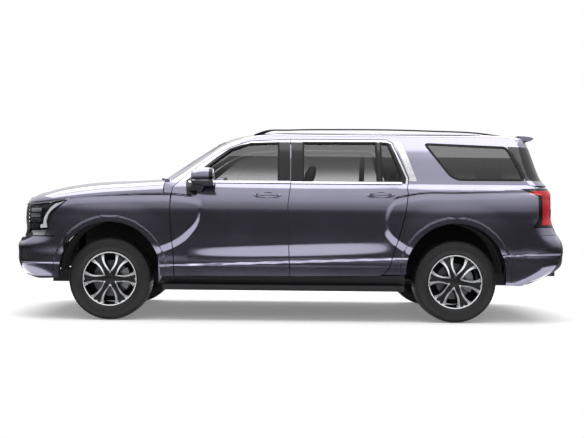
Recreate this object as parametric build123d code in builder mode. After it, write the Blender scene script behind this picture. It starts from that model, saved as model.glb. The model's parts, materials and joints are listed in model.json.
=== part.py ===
"""Sport utility vehicle: body shell, doors, glass, frame, running gear and cabin.

Each file holds one named group of solids.

Frame: +Z up, nose towards -X, left side towards -Y, origin on the floor below the middle.
All sizes are in millimetres.
"""

import os
from math import copysign, cos, hypot, radians, sin, sqrt

from build123d import *

os.makedirs("parts", exist_ok=True)

# ---------------------------------------------------------------- driving dimensions
HALF_LENGTH = 2775
HALF_WIDTH = 1000
FRONT_AXLE_X = -1755
REAR_AXLE_X = 1605

TYRE_RADIUS = 400
TYRE_WIDTH = 265
RIM_RADIUS = 254
RIM_LIP_RADIUS = 267
TYRE_OUTER_INSET = 10
WHEEL_Y = HALF_WIDTH - TYRE_OUTER_INSET - TYRE_WIDTH / 2

SHUT_GAP = 8
SEAT_GAP = 0.3
SKIN = 6
WALL = 110
PILLAR = 60
FRAME_THICKNESS = 40
GLASS = 5
GLASS_INSET = 12

BELT_Z = 1345
SILL_TOP_Z = 436
SILL_BOTTOM_Z = 356
FLOOR_Z = 475
FLOOR_THICKNESS = 25
FLOOR_HALF_WIDTH = HALF_WIDTH - 170
RAIL_TOP_Z = 450
RAIL_BOTTOM_Z = 330
RAIL_Y = 415
RAIL_WIDTH = 80

PIN_RADIUS = 5
BORE_RADIUS = 5.3
KNUCKLE_RADIUS = 9
LEAF_HEIGHT = 40

FAR = 1300

# ---------------------------------------------------------------- body envelope
# Each profile pairs a height with a distance from the middle.
# The distances are the half width, the reach of the nose and the reach of the tail.
SIDE_LOW = [
    (340, HALF_WIDTH - 62),
    (380, HALF_WIDTH - 45),
    (450, HALF_WIDTH - 27),
    (540, HALF_WIDTH - 14),
    (640, HALF_WIDTH - 17),
    (740, HALF_WIDTH - 15),
    (860, HALF_WIDTH - 9),
    (1000, HALF_WIDTH - 3),
    (1100, HALF_WIDTH),
    (1200, HALF_WIDTH - 7),
    (1290, HALF_WIDTH - 28),
    (BELT_Z, HALF_WIDTH - 54),
]
NOSE_LOW = [
    (340, HALF_LENGTH - 235),
    (380, HALF_LENGTH - 145),
    (450, HALF_LENGTH - 55),
    (540, HALF_LENGTH - 8),
    (640, HALF_LENGTH),
    (740, HALF_LENGTH - 8),
    (800, HALF_LENGTH - 62),
    (1000, HALF_LENGTH - 80),
    (1100, HALF_LENGTH - 92),
    (1200, HALF_LENGTH - 140),
    (BELT_Z, HALF_LENGTH - 260),
]
TAIL_LOW = [
    (340, HALF_LENGTH - 330),
    (380, HALF_LENGTH - 300),
    (450, HALF_LENGTH - 150),
    (540, HALF_LENGTH - 30),
    (640, HALF_LENGTH - 2),
    (740, HALF_LENGTH),
    (800, HALF_LENGTH - 20),
    (860, HALF_LENGTH - 62),
    (1000, HALF_LENGTH - 122),
    (1200, HALF_LENGTH - 128),
    (1290, HALF_LENGTH - 134),
    (BELT_Z, HALF_LENGTH - 180),
]
SIDE_HIGH = [
    (BELT_Z, HALF_WIDTH - 54),
    (1395, HALF_WIDTH - 75),
    (1480, HALF_WIDTH - 107),
    (1620, HALF_WIDTH - 162),
    (1740, HALF_WIDTH - 215),
    (1790, HALF_WIDTH - 242),
    (1820, HALF_WIDTH - 264),
    (1845, HALF_WIDTH - 298),
    (1862, HALF_WIDTH - 346),
    (1875, HALF_WIDTH - 432),
    (1886, HALF_WIDTH - 580),
    (1892, HALF_WIDTH - 740),
]
NOSE_HIGH = [
    (BELT_Z, 1400),
    (1395, 1326),
    (1480, 1201),
    (1564, 1079),
    (1646, 958),
    (1729, 837),
    (1791, 715),
    (1833, 594),
    (1854, 472),
    (1866, 350),
    (1875, 150),
    (1886, -150),
    (1892, -350),
]
TAIL_HIGH = [
    (BELT_Z, HALF_LENGTH - 180),
    (1409, HALF_LENGTH - 230),
    (1488, HALF_LENGTH - 260),
    (1620, HALF_LENGTH - 297),
    (1740, HALF_LENGTH - 330),
    (1800, HALF_LENGTH - 350),
    (1831, HALF_LENGTH - 375),
    (1854, HALF_LENGTH - 511),
    (1866, HALF_LENGTH - 840),
    (1875, HALF_LENGTH - 1180),
    (1886, HALF_LENGTH - 1450),
    (1892, HALF_LENGTH - 1650),
]
LOW_NOSE_CAP = (450, 2.4, 4.0)
LOW_TAIL_CAP = (350, 2.4, 4.0)
HIGH_NOSE_CAP = (380, 2.0, 2.5)
HIGH_TAIL_CAP = (280, 2.2, 4.5)
CAP_STEPS = 6
OVERRUN = 30


def moved_in(profile, depth):
    """The profile with each point moved square to it, towards the inside, by depth."""
    points = []
    last = len(profile) - 1
    for i, (z, reach) in enumerate(profile):
        z0, reach0 = profile[max(i - 1, 0)]
        z1, reach1 = profile[min(i + 1, last)]
        run = hypot(z1 - z0, reach1 - reach0)
        step_z = depth * (reach1 - reach0) / run
        points.append((z + step_z, reach - depth * (z1 - z0) / run))
    return points


def reach_at(profile, z):
    """Straight-line reading of a profile at one height, carried on past its ends."""
    index = 0
    while index < len(profile) - 2 and z > profile[index + 1][0]:
        index += 1
    z0, reach0 = profile[index]
    z1, reach1 = profile[index + 1]
    return reach0 + (reach1 - reach0) * (z - z0) / (z1 - z0)


def cap_points(sign, reach, half_width, cap):
    """One rounded end of a horizontal slice, from the left side to the right side."""
    length, p, q = cap
    points = []
    for i in range(-CAP_STEPS, CAP_STEPS + 1):
        share = sin(radians(90 * i / CAP_STEPS))
        along = sqrt(1 - abs(share) ** q) ** (2 / p)
        points.append((sign * (reach - length * (1 - along)), half_width * share))
    return points


def envelope(side, nose, tail, caps, depth, levels):
    """Solid through horizontal slices of the body, everything inside by depth."""
    side_in = moved_in(side, depth)
    nose_in = moved_in(nose, depth)
    tail_in = moved_in(tail, depth)
    with BuildPart() as solid:
        for z in levels(side_in):
            width = reach_at(side_in, z)
            front = cap_points(-1, reach_at(nose_in, z), width, caps[0])
            rear = cap_points(1, reach_at(tail_in, z), width, caps[1])
            with BuildSketch(Plane.XY.offset(z)):
                with BuildLine():
                    Spline(*front)
                    Line(front[-1], rear[-1])
                    Spline(*reversed(rear))
                    Line(rear[0], front[0])
                make_face()
        loft(ruled=True)
    return solid.part


def low_body(depth):
    """Body below the belt, carried a little past both ends."""

    def levels(side):
        inner = [z for z, _ in side[1:-1]]
        return [SIDE_LOW[0][0] - OVERRUN, *inner, BELT_Z + OVERRUN]

    return envelope(SIDE_LOW, NOSE_LOW, TAIL_LOW, (LOW_NOSE_CAP, LOW_TAIL_CAP), depth, levels)


def high_body(depth):
    """Body above the belt, carried a little below it and closed at the roof."""

    def levels(side):
        return [BELT_Z - OVERRUN, *[z for z, _ in side[1:]]]

    return envelope(SIDE_HIGH, NOSE_HIGH, TAIL_HIGH, (HIGH_NOSE_CAP, HIGH_TAIL_CAP), depth, levels)


_solids = {}


def body(kind, depth):
    """Envelope solid, made once for each depth."""
    key = (kind, depth)
    if key not in _solids:
        _solids[key] = low_body(depth) if kind == "low" else high_body(depth)
    return _solids[key]


def wall(kind, outer, inner):
    """Layer of the body between two depths, cut off square at the belt."""
    key = (kind, outer, inner)
    if key not in _solids:
        low, high = (SIDE_LOW[0][0], BELT_Z) if kind == "low" else (BELT_Z, 2000)
        with BuildPart() as layer:
            add(body(kind, outer))
            add(body(kind, inner), mode=Mode.SUBTRACT)
            with Locations((0, 0, (low + high) / 2)):
                Box(6000, 3000, high - low, mode=Mode.INTERSECT)
        _solids[key] = layer.part
    return _solids[key]


# ---------------------------------------------------------------- regions
def side_region(points, grow=0.0, y_from=-FAR, y_to=FAR):
    """Outline in side view (x, z), grown on all sides, carried across from y_from to y_to."""
    with BuildPart() as solid:
        with BuildSketch(Plane.XZ.offset(-y_to)) as outline:
            with BuildLine():
                Polyline(*points, close=True)
            make_face()
            if grow:
                offset(amount=grow, kind=Kind.INTERSECTION, mode=Mode.REPLACE)
        extrude(outline.sketch, amount=y_to - y_from)
    return solid.part


def end_region(points, grow, x_from, x_to):
    """Outline in end view (y, z), mirrored about the middle, carried along from x_from to x_to."""
    mirrored = [(-y, z) for y, z in reversed(points) if y > 0]
    with BuildPart() as solid:
        with BuildSketch(Plane.YZ.offset(x_from)) as outline:
            with BuildLine():
                Polyline(*points, *mirrored, close=True)
            make_face()
            if grow:
                offset(amount=grow, kind=Kind.INTERSECTION, mode=Mode.REPLACE)
        extrude(outline.sketch, amount=x_to - x_from)
    return solid.part


def block(x0, x1, y0, y1, z0, z1):
    """Box between two corners."""
    with BuildPart() as solid:
        with Locations(((x0 + x1) / 2, (y0 + y1) / 2, (z0 + z1) / 2)):
            Box(abs(x1 - x0), abs(y1 - y0), abs(z1 - z0))
    return solid.part


def rod(start, end, radius):
    """Round bar between two points."""
    axis = Vector(*end) - Vector(*start)
    with BuildPart() as solid:
        with BuildSketch(Plane(origin=start, z_dir=axis)):
            Circle(radius)
        extrude(amount=axis.length)
    return solid.part


def tube(start, end, outer, inner):
    """Round bar with a bore right through."""
    with BuildPart() as solid:
        add(rod(start, end, outer))
        add(rod(start, end, inner), mode=Mode.SUBTRACT)
    return solid.part


def common(first, *others):
    """Part that all the given solids share."""
    with BuildPart() as solid:
        add(first)
        for other in others:
            add(other, mode=Mode.INTERSECT)
    return solid.part


def made_of(*pieces, less=()):
    """Union of pieces, less others."""
    with BuildPart() as solid:
        for piece in pieces:
            add(piece)
        for piece in less:
            add(piece, mode=Mode.SUBTRACT)
    return solid.part


def other_side(piece):
    """Mirror image across the middle of the car."""
    return piece.mirror(Plane.XZ)


def both_sides(piece):
    """The piece and its mirror image."""
    return made_of(piece, other_side(piece))


def save(part, name):
    """Labels a finished part and writes it out."""
    part.label = name
    export_step(part, f"parts/{name}.step")


LEFT = block(-3000, 3000, -FAR, 0, 0, 2200)

# Shut lines in side view.
FRONT_DOOR = [
    (-1128, SILL_TOP_Z),
    (-1140, 653),
    (-1169, 925),
    (-1173, 1129),
    (-1153, 1293),
    (-1091, 1361),
    (-982, 1457),
    (-886, 1531),
    (-741, 1629),
    (-597, 1708),
    (-403, 1768),
    (-4, 1790),
    (-4, 1331),
    (-31, 1140),
    (-18, 732),
    (-4, SILL_TOP_Z + 10),
]
REAR_DOOR = [
    (-4, SILL_TOP_Z + 10),
    (-18, 732),
    (-31, 1140),
    (-4, 1331),
    (-4, 1790),
    (945, 1794),
    (1000, 1765),
    (1081, 1579),
    (1150, 1400),
    (1132, 1300),
    (1138, 1246),
    (1109, 1042),
    (1055, 838),
    (996, 647),
    (963, 538),
    (910, 477),
    (869, SILL_TOP_Z + 20),
]
FRONT_WINDOW = [(-1000, 1352), (-596, 1682), (-403, 1740), (-126, 1751), (-126, 1352)]
REAR_WINDOW = [(121, 1354), (121, 1756), (841, 1762), (841, 1362)]
QUARTER_LIGHT = [(889, 1364), (889, 1762), (960, 1750), (1020, 1590), (1085, 1420), (1070, 1376)]
SIDE_GLASS = [(1325, 1755), (2135, 1725), (2281, 1396), (1640, 1394), (1560, 1430)]

HOOD_SIDE_X = [-2610, -2540, -2440, -2300, -2100, -1850, -1550, -1243]
HOOD_SIDE_Z = [1150, 1143, 1148, 1162, 1183, 1206, 1226, 1237]
HOOD_TOP_Z = [1192, 1234, 1260, 1296, 1331, 1354, 1368, 1386]
HOOD_SQUARENESS = [4, 4, 4, 4.5, 5, 6, 7, 8]
HOOD_SKIN = 8
HOOD_STEPS = 8
HOOD_LINE = list(zip(HOOD_SIDE_X, HOOD_SIDE_Z))


def arch(axle_x, radius, top_z, grow=0.0):
    """Wheel opening carried across the car: round over the wheel, straight down to the sill."""
    centre_z = top_z - radius
    with BuildPart() as solid:
        with BuildSketch(Plane.XZ.offset(-FAR)) as outline:
            with Locations((axle_x, centre_z)):
                Circle(radius + grow)
            with Locations((axle_x, centre_z / 2)):
                Rectangle(2 * (radius + grow), centre_z)
        extrude(outline.sketch, amount=2 * FAR)
    return solid.part


FRONT_ARCH_RADIUS = 492
FRONT_ARCH_TOP = 957
REAR_ARCH_RADIUS = 485
REAR_ARCH_TOP = 969
FRONT_ARCH = arch(FRONT_AXLE_X, FRONT_ARCH_RADIUS, FRONT_ARCH_TOP)
REAR_ARCH = arch(REAR_AXLE_X, REAR_ARCH_RADIUS, REAR_ARCH_TOP)

# ---------------------------------------------------------------- doors
DOOR_HINGE_Y = HALF_WIDTH - 36
DOOR_HINGE_HEIGHTS = (640, 1110)
FRONT_DOOR_HINGE_X = -1110
REAR_DOOR_HINGE_X = 35
BOX_BEHIND_HINGE = 15
BOX_REAR_INSET = 45
BOX_TOP_INSET = 25


def inner_outline(hinge_x, rear_edge):
    """Lower door outline behind its skin, clear of the hinge, the sill and the jamb."""
    return [
        (hinge_x + BOX_BEHIND_HINGE, FLOOR_Z + FLOOR_THICKNESS + 10),
        (hinge_x + BOX_BEHIND_HINGE, BELT_Z),
        *rear_edge,
    ]


FRONT_BOX = inner_outline(FRONT_DOOR_HINGE_X, [(-92, BELT_Z), (-92, 510)])
REAR_BOX = inner_outline(
    REAR_DOOR_HINGE_X, [(1080, BELT_Z), (1060, 1042), (1005, 838), (930, 600), (860, 510)],
)


def door_hinges(hinge_x):
    """Pins and door leaves, one above and one below each body leaf."""
    pieces = []
    for z in DOOR_HINGE_HEIGHTS:
        half = LEAF_HEIGHT / 2
        pieces.append(rod(
            (hinge_x, -DOOR_HINGE_Y, z - half - 16), (hinge_x, -DOOR_HINGE_Y, z + half + 16), PIN_RADIUS,
        ))
        for low, high in ((z - half - 16, z - half - 2), (z + half + 2, z + half + 16)):
            pieces.append(rod((hinge_x, -DOOR_HINGE_Y, low), (hinge_x, -DOOR_HINGE_Y, high), KNUCKLE_RADIUS))
            pieces.append(
                block(
                    hinge_x,
                    hinge_x + 40,
                    -DOOR_HINGE_Y - KNUCKLE_RADIUS,
                    -DOOR_HINGE_Y + KNUCKLE_RADIUS,
                    low,
                    high,
                )
            )
    return pieces


def body_leaves(hinge_x, inner_y):
    """Fixed hinge leaves, each a bored knuckle on a bar that runs straight in to the pillar."""
    pieces = []
    half = LEAF_HEIGHT / 2
    for z in DOOR_HINGE_HEIGHTS:
        pieces.append(rod(
            (hinge_x, -DOOR_HINGE_Y, z - half), (hinge_x, -DOOR_HINGE_Y, z + half), KNUCKLE_RADIUS,
        ))
        pieces.append(block(hinge_x - 6, hinge_x + 6, -DOOR_HINGE_Y, -inner_y, z - half, z + half))
    return pieces


def leaf_bores(hinge_x):
    """Pin bores through the fixed leaves."""
    half = LEAF_HEIGHT / 2
    return [
        rod((hinge_x, -DOOR_HINGE_Y, z - half - 1), (hinge_x, -DOOR_HINGE_Y, z + half + 1), BORE_RADIUS)
        for z in DOOR_HINGE_HEIGHTS
    ]


def door(outline, box, windows, hinge_x, frame_front, frame_rear):
    """One left door: thin skin to the shut line, thick box behind it, window frame above the belt, hinges."""
    half_gap = SHUT_GAP / 2
    shape = side_region(outline, -half_gap, -FAR, -300)
    openings = [side_region(window, 0, -FAR, -300) for window in windows]
    inner = side_region(box, 0, -FAR, -300)
    upper = side_region(
        [(frame_front, BELT_Z), (frame_front, 1900), (frame_rear, 1900), (frame_rear, BELT_Z)], 0, -FAR, -300,
    )
    frame_shape = side_region(outline, -BOX_TOP_INSET, -FAR, -300)
    slots = [
        common(
            wall("high", GLASS_INSET - SEAT_GAP, GLASS_INSET + GLASS + SEAT_GAP),
            side_region(window, 12, -FAR, -300),
        )
        for window in windows
    ]
    return made_of(
        common(wall("low", 0, SKIN), shape),
        common(wall("low", SKIN, WALL), shape, inner),
        common(wall("high", 0, SKIN), shape),
        common(wall("high", SKIN, FRAME_THICKNESS), frame_shape, upper),
        *door_hinges(hinge_x),
        less=[*openings, *slots],
    )


def window_glass(windows):
    """Panes held in the slots of one left door."""
    return made_of(
        *[
            common(wall("high", GLASS_INSET, GLASS_INSET + GLASS), side_region(window, 11, -FAR, -300))
            for window in windows
        ]
    )


HANDLE_LENGTH = 215
HANDLE_REACH = 38


def handle(x, z):
    """Pull handle on two feet, standing off the door skin."""
    surface = reach_at(SIDE_LOW, z)
    outer = -surface - HANDLE_REACH
    pieces = [block(x - HANDLE_LENGTH / 2, x + HANDLE_LENGTH / 2, outer, outer + 16, z - 16, z + 16)]
    for offset_x in (-80, 80):
        pieces.append(block(x + offset_x - 18, x + offset_x + 18, outer + 8, -surface + 5, z - 14, z + 14))
    return made_of(*pieces)


print("doors", flush=True)
with BuildPart() as front_left_door:
    add(door(FRONT_DOOR, FRONT_BOX, [FRONT_WINDOW], FRONT_DOOR_HINGE_X, -1200, -40))
    add(handle(-233, 1225))
save(front_left_door.part, "front_left_door")

with BuildPart() as rear_left_door:
    add(door(REAR_DOOR, REAR_BOX, [REAR_WINDOW, QUARTER_LIGHT], REAR_DOOR_HINGE_X, 10, 1300))
    add(handle(865, 1236))
save(rear_left_door.part, "rear_left_door")

with BuildPart() as front_left_glass:
    add(window_glass([FRONT_WINDOW]))
save(front_left_glass.part, "front_left_door_glass")

with BuildPart() as rear_left_glass:
    add(window_glass([REAR_WINDOW, QUARTER_LIGHT]))
save(rear_left_glass.part, "rear_left_door_glass")

for left, name in (
    (front_left_door, "front_right_door"),
    (rear_left_door, "rear_right_door"),
    (front_left_glass, "front_right_door_glass"),
    (rear_left_glass, "rear_right_door_glass"),
):
    with BuildPart() as right:
        add(other_side(left.part))
    save(right.part, name)

# ---------------------------------------------------------------- door mirrors
MIRROR_Z = 1394
with BuildPart() as left_mirror:
    with BuildSketch(Plane.YZ.offset(-965)):
        with Locations((-1100, MIRROR_Z)):
            RectangleRounded(240, 170, 45)
    with BuildSketch(Plane.YZ.offset(-745)):
        with Locations((-1100, MIRROR_Z + 4)):
            RectangleRounded(250, 184, 40)
    loft()
    add(block(-960, -885, -1020, -HALF_WIDTH + 45, 1246, 1330))
    add(block(-990, -885, -HALF_WIDTH - 20, -HALF_WIDTH + 44, 1222, 1330))
    add(body("low", -SEAT_GAP), mode=Mode.SUBTRACT)
save(left_mirror.part, "left_mirror")
with BuildPart() as right_mirror:
    add(other_side(left_mirror.part))
save(right_mirror.part, "right_mirror")

print("bonnet", flush=True)
# ---------------------------------------------------------------- bonnet
HOOD_HINGE_X = -1250
HOOD_HINGE_Z = 1343
HOOD_HINGE_Y = 790
HOOD_HINGE_WIDTH = 24


def hood_half_width(x):
    """Half width of the nose in plan at the wing top."""
    length, p, q = LOW_NOSE_CAP
    share = min((x + HALF_LENGTH - 120) / length, 1)
    return (HALF_WIDTH - 7) * sqrt(1 - (1 - share) ** p) ** (2 / q)


def hood_solid(depth):
    """Bonnet volume under its crowned surface, everything inside by depth."""
    with BuildPart() as solid:
        for x, low, top, square in zip(HOOD_SIDE_X, HOOD_SIDE_Z, HOOD_TOP_Z, HOOD_SQUARENESS):
            half = hood_half_width(x) - depth
            rise = top - low - depth
            base = low - OVERRUN
            points = []
            for i in range(-HOOD_STEPS, HOOD_STEPS + 1):
                share = sin(radians(90 * i / HOOD_STEPS))
                points.append((half * share, low + rise * sqrt(1 - abs(share) ** square)))
            with BuildSketch(Plane.YZ.offset(x)):
                with BuildLine():
                    Spline(*points)
                    Polyline(points[-1], (half, base), (-half, base), points[0])
                make_face()
        loft(ruled=True)
    return solid.part


def plan_region(points, z_from, z_to):
    """Outline in plan (x, y), mirrored about the middle, carried up from z_from to z_to."""
    mirrored = [(x, -y) for x, y in reversed(points) if y > 0]
    with BuildPart() as solid:
        with BuildSketch(Plane.XY.offset(z_from)):
            with BuildLine():
                Polyline(*points, *mirrored, close=True)
            make_face()
        extrude(amount=z_to - z_from)
    return solid.part


HOOD_REAR = [(-1478, 0), (-1400, 600), (-1270, 800), (-1243, 900), (-1243, 1050)]
HOOD_PLAN = plan_region([(-2604, 0), (-2604, 1050), *reversed(HOOD_REAR)], 1100, 1500)
HOOD_INNER_PLAN = plan_region([(-2500, 0), (-2500, 760), (-1340, 760), (-1440, 560), (-1530, 0)], 1100, 1500)
HOOD_INNER_CUT = plan_region([(-2400, 0), (-2400, 620), (-1560, 620), (-1600, 0)], 1100, 1500)
ABOVE_WING = side_region([
    *[(x, z + SHUT_GAP / 2) for x, z in HOOD_LINE], (-1200, 1600), (-2700, 1600), (-2700, 1154),
])

hood_outer = hood_solid(0)
hood_under = hood_solid(HOOD_SKIN)
hood_deep = hood_solid(34)


def hood_hinge(side):
    """Bonnet arms and pin on one side."""
    y = side * HOOD_HINGE_Y
    half = HOOD_HINGE_WIDTH / 2
    pieces = [rod(
        (HOOD_HINGE_X, y - half - 14, HOOD_HINGE_Z), (HOOD_HINGE_X, y + half + 14, HOOD_HINGE_Z), PIN_RADIUS,
    )]
    for low, high in ((y - half - 14, y - half - 2), (y + half + 2, y + half + 14)):
        pieces.append(rod(
            (HOOD_HINGE_X, low, HOOD_HINGE_Z), (HOOD_HINGE_X, high, HOOD_HINGE_Z), KNUCKLE_RADIUS,
        ))
        pieces.append(block(
            -1340, HOOD_HINGE_X, low, high, HOOD_HINGE_Z - KNUCKLE_RADIUS, HOOD_HINGE_Z + KNUCKLE_RADIUS,
        ))
        pieces.append(block(-1340, -1290, low, high, HOOD_HINGE_Z, 1366))
    return pieces


with BuildPart() as bonnet:
    add(common(hood_outer, HOOD_PLAN, ABOVE_WING))
    add(hood_under, mode=Mode.SUBTRACT)
    add(made_of(common(hood_under, HOOD_INNER_PLAN), less=[hood_deep, HOOD_INNER_CUT]))
    for side in (-1, 1):
        for piece in hood_hinge(side):
            add(piece)
save(bonnet.part, "bonnet")

print("wings, nose", flush=True)
# ---------------------------------------------------------------- wings, nose and lamps
WING_FRONT = [
    (-2150, 1178),
    (-2310, 1034),
    (-2354, 884),
    (-2262, 740),
]
HEADLAMP = [
    (-2800, 1116), (-2506, 1122), (-2154, 1176), (-2310, 1034), (-2354, 884), (-2529, 870), (-2800, 866),
]
LAMP_INNER_Y = 610
TAIL_LAMP = [
    (2226, 1307), (2489, 1318), (2800, 1318), (2800, 930), (2512, 930), (2344, 932), (2400, 1030),
    (2396, 1240),
]
TAIL_LAMP_INNER_Y = 800
TAILGATE_HALF = [
    (0, 868), (784, 868), (792, 1290), (762, BELT_Z), (688, 1740), (640, 1790), (626, 1835), (626, 1950),
]
TAILGATE_FRONT_X = 2212
REAR_BUMPER_TOP = 860

WING_RAIL_Y = HALF_WIDTH - 140
wing_shape = side_region(
    [
        *HOOD_LINE[4:],
        (-1169, 1240),
        *reversed(FRONT_DOOR[:4]),
        (-1090, SILL_BOTTOM_Z - 40),
        (-2150, SILL_BOTTOM_Z - 40),
        (-2150, 740),
        *reversed(WING_FRONT),
    ],
    -SHUT_GAP / 2,
)

with BuildPart() as front_wings:
    add(common(wall("low", 0, SKIN), wing_shape))
    add(FRONT_ARCH, mode=Mode.SUBTRACT)
    add(block(-1240, -1000, -FAR, FAR, 0, SILL_TOP_Z + 4), mode=Mode.SUBTRACT)
    for x in (-2100, -1720, -1340):
        for side in (-1, 1):
            add(block(x - 20, x + 20, side * (HALF_WIDTH - 4), side * (WING_RAIL_Y + SEAT_GAP), 1095, 1110))
save(front_wings.part, "front_wings")

BUMPER_TOP_FRONT = 790
BUMPER_BOTTOM_Z = 412
front_bumper_shape = side_region(
    [
        (-3000, BUMPER_TOP_FRONT), (-2640, BUMPER_TOP_FRONT), (-2529, 862), (-2354, 876), (-2262, 740),
        (-2200, 740), (-2200, BUMPER_BOTTOM_Z), (-3000, BUMPER_BOTTOM_Z),
    ],
    -SHUT_GAP / 2,
)
FRAME_FRONT_X = -HALF_LENGTH + 175
FRAME_REAR_X = HALF_LENGTH - 175
RAIL_FRONT_X = FRAME_FRONT_X + 160
RAIL_REAR_X = FRAME_REAR_X - 140
BEAM_DEPTH = 90
PLATE_BOLT_SPACING = 210
PLATE_BOLT_RADIUS = 3
FRONT_PLATE_Z = 660
REAR_PLATE_Z = 1010
with BuildPart() as front_bumper:
    add(common(wall("low", 0, 50), front_bumper_shape))
    add(block(FRAME_FRONT_X - BEAM_DEPTH, FRAME_FRONT_X, -620, 620, 480, 600))
    add(FRONT_ARCH, mode=Mode.SUBTRACT)
    add(block(-2900, -2700, -420, 420, 515, 590), mode=Mode.SUBTRACT)
    for y in (-PLATE_BOLT_SPACING / 2, PLATE_BOLT_SPACING / 2):
        add(rod((-3000, y, FRONT_PLATE_Z), (-2650, y, FRONT_PLATE_Z), PLATE_BOLT_RADIUS), mode=Mode.SUBTRACT)
save(front_bumper.part, "front_bumper")

GRILLE_HALF = [(0, 802), (600, 802), (600, 1150), (540, 1186), (0, 1200)]
SUPPORT_X = -2480
grille_shape = end_region(GRILLE_HALF, 0, -2900, -2500)
with BuildPart() as grille:
    add(common(wall("low", 0, 60), grille_shape))
    for i in range(5):
        z = 846 + 66 * i
        add(block(-2900, -2610, -550, -40, z, z + 36), mode=Mode.SUBTRACT)
        add(block(-2900, -2610, 40, 550, z, z + 36), mode=Mode.SUBTRACT)
    add(block(-2660, SUPPORT_X, -580, -540, 850, 1140))
    add(block(-2660, SUPPORT_X, 540, 580, 850, 1140))
    add(common(hood_outer, HOOD_PLAN), mode=Mode.SUBTRACT)
save(grille.part, "grille")

lamp_shape = side_region(HEADLAMP, -SHUT_GAP / 2)
with BuildPart() as headlamps:
    add(common(wall("low", 0, 90), lamp_shape))
    add(block(-3000, -2000, -LAMP_INNER_Y, LAMP_INNER_Y, 800, 1300), mode=Mode.SUBTRACT)
    for side in (-1, 1):
        add(block(-2560, SUPPORT_X, side * 640, side * 780, 900, 1080))
save(headlamps.part, "headlamps")

tail_lamp_shape = side_region(TAIL_LAMP, -SHUT_GAP / 2)
tail_lamp_hole = side_region(TAIL_LAMP)
tailgate_keep = end_region(TAILGATE_HALF, SHUT_GAP, 2100, 3000)
middle_of_tail = block(2100, 3000, -TAIL_LAMP_INNER_Y, TAIL_LAMP_INNER_Y, 700, 1345)
with BuildPart() as tail_lamps:
    add(common(wall("low", 0, 60), tail_lamp_shape))
    add(middle_of_tail, mode=Mode.SUBTRACT)
save(tail_lamps.part, "tail_lamps")

with BuildPart() as rear_bumper:
    add(
        common(
            wall("low", 0, 50),
            side_region(
                [
                    (2079, 640), (2330, 700), (2420, REAR_BUMPER_TOP), (3000, REAR_BUMPER_TOP), (3000, 380),
                    (2079, 380),
                ],
                -4,
            ),
        )
    )
    add(block(FRAME_REAR_X, FRAME_REAR_X + BEAM_DEPTH, -600, 600, 440, 600))
    for side in (-1, 1):
        inner = side * (RAIL_Y - RAIL_WIDTH / 2)
        outer = side * (RAIL_Y + RAIL_WIDTH / 2)
        add(block(RAIL_REAR_X, FRAME_REAR_X, inner, outer, 440, FLOOR_Z - 3))
    add(REAR_ARCH, mode=Mode.SUBTRACT)
save(rear_bumper.part, "rear_bumper")

print("body sides", flush=True)
# ---------------------------------------------------------------- body sides
PILLAR_FRONT_X = -1290
PILLAR_REAR_X = -1186
COWL_REAR_X = -1235
B_PILLAR_FRONT_X = -70
B_PILLAR_REAR_X = REAR_DOOR_HINGE_X + 6
INNER_DEPTH = 118
SILL_REAR_X = REAR_AXLE_X - REAR_ARCH_RADIUS - 8
PILLAR_INNER_Y = HALF_WIDTH - 190

half_gap = SHUT_GAP / 2
front_door_hole = side_region(FRONT_DOOR, half_gap)
rear_door_hole = side_region(REAR_DOOR, half_gap)
glass_hole = side_region(SIDE_GLASS)
glass_seat = side_region(SIDE_GLASS, 18)
PANE_DEPTH = 8
ROOF_HALF_WIDTH = 640
roof_cut = block(
    -2000, TAILGATE_FRONT_X + 400, -ROOF_HALF_WIDTH - SEAT_GAP, ROOF_HALF_WIDTH + SEAT_GAP, 1600, 2000,
)

QUARTER = [
    (869, 470), (910, 477), (963, 538), (996, 647), (1055, 838), (1109, 1042), (1138, 1246), (1132, 1300),
    (1140, BELT_Z),
]
quarter_shape = side_region([
    *QUARTER, (3000, BELT_Z), (3000, REAR_BUMPER_TOP), (2424, REAR_BUMPER_TOP), (2334, 700), (2083, 644),
    (2083, 470),
])
rocker_shape = side_region([
    (-1250, SILL_BOTTOM_Z), (-1250, SILL_TOP_Z - 4), (1115, SILL_TOP_Z + 16), (1115, SILL_BOTTOM_Z),
])
cowl_corner = side_region([
    (COWL_REAR_X, 1245), (COWL_REAR_X, BELT_Z), (-1106, BELT_Z), (-1153, 1300), (-1167, 1240),
])
windscreen_hole_half = [(0, 1366), (700, 1366), (690, 1500), (640, 1640), (575, 1770), (400, 1785), (0, 1792)]


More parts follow.
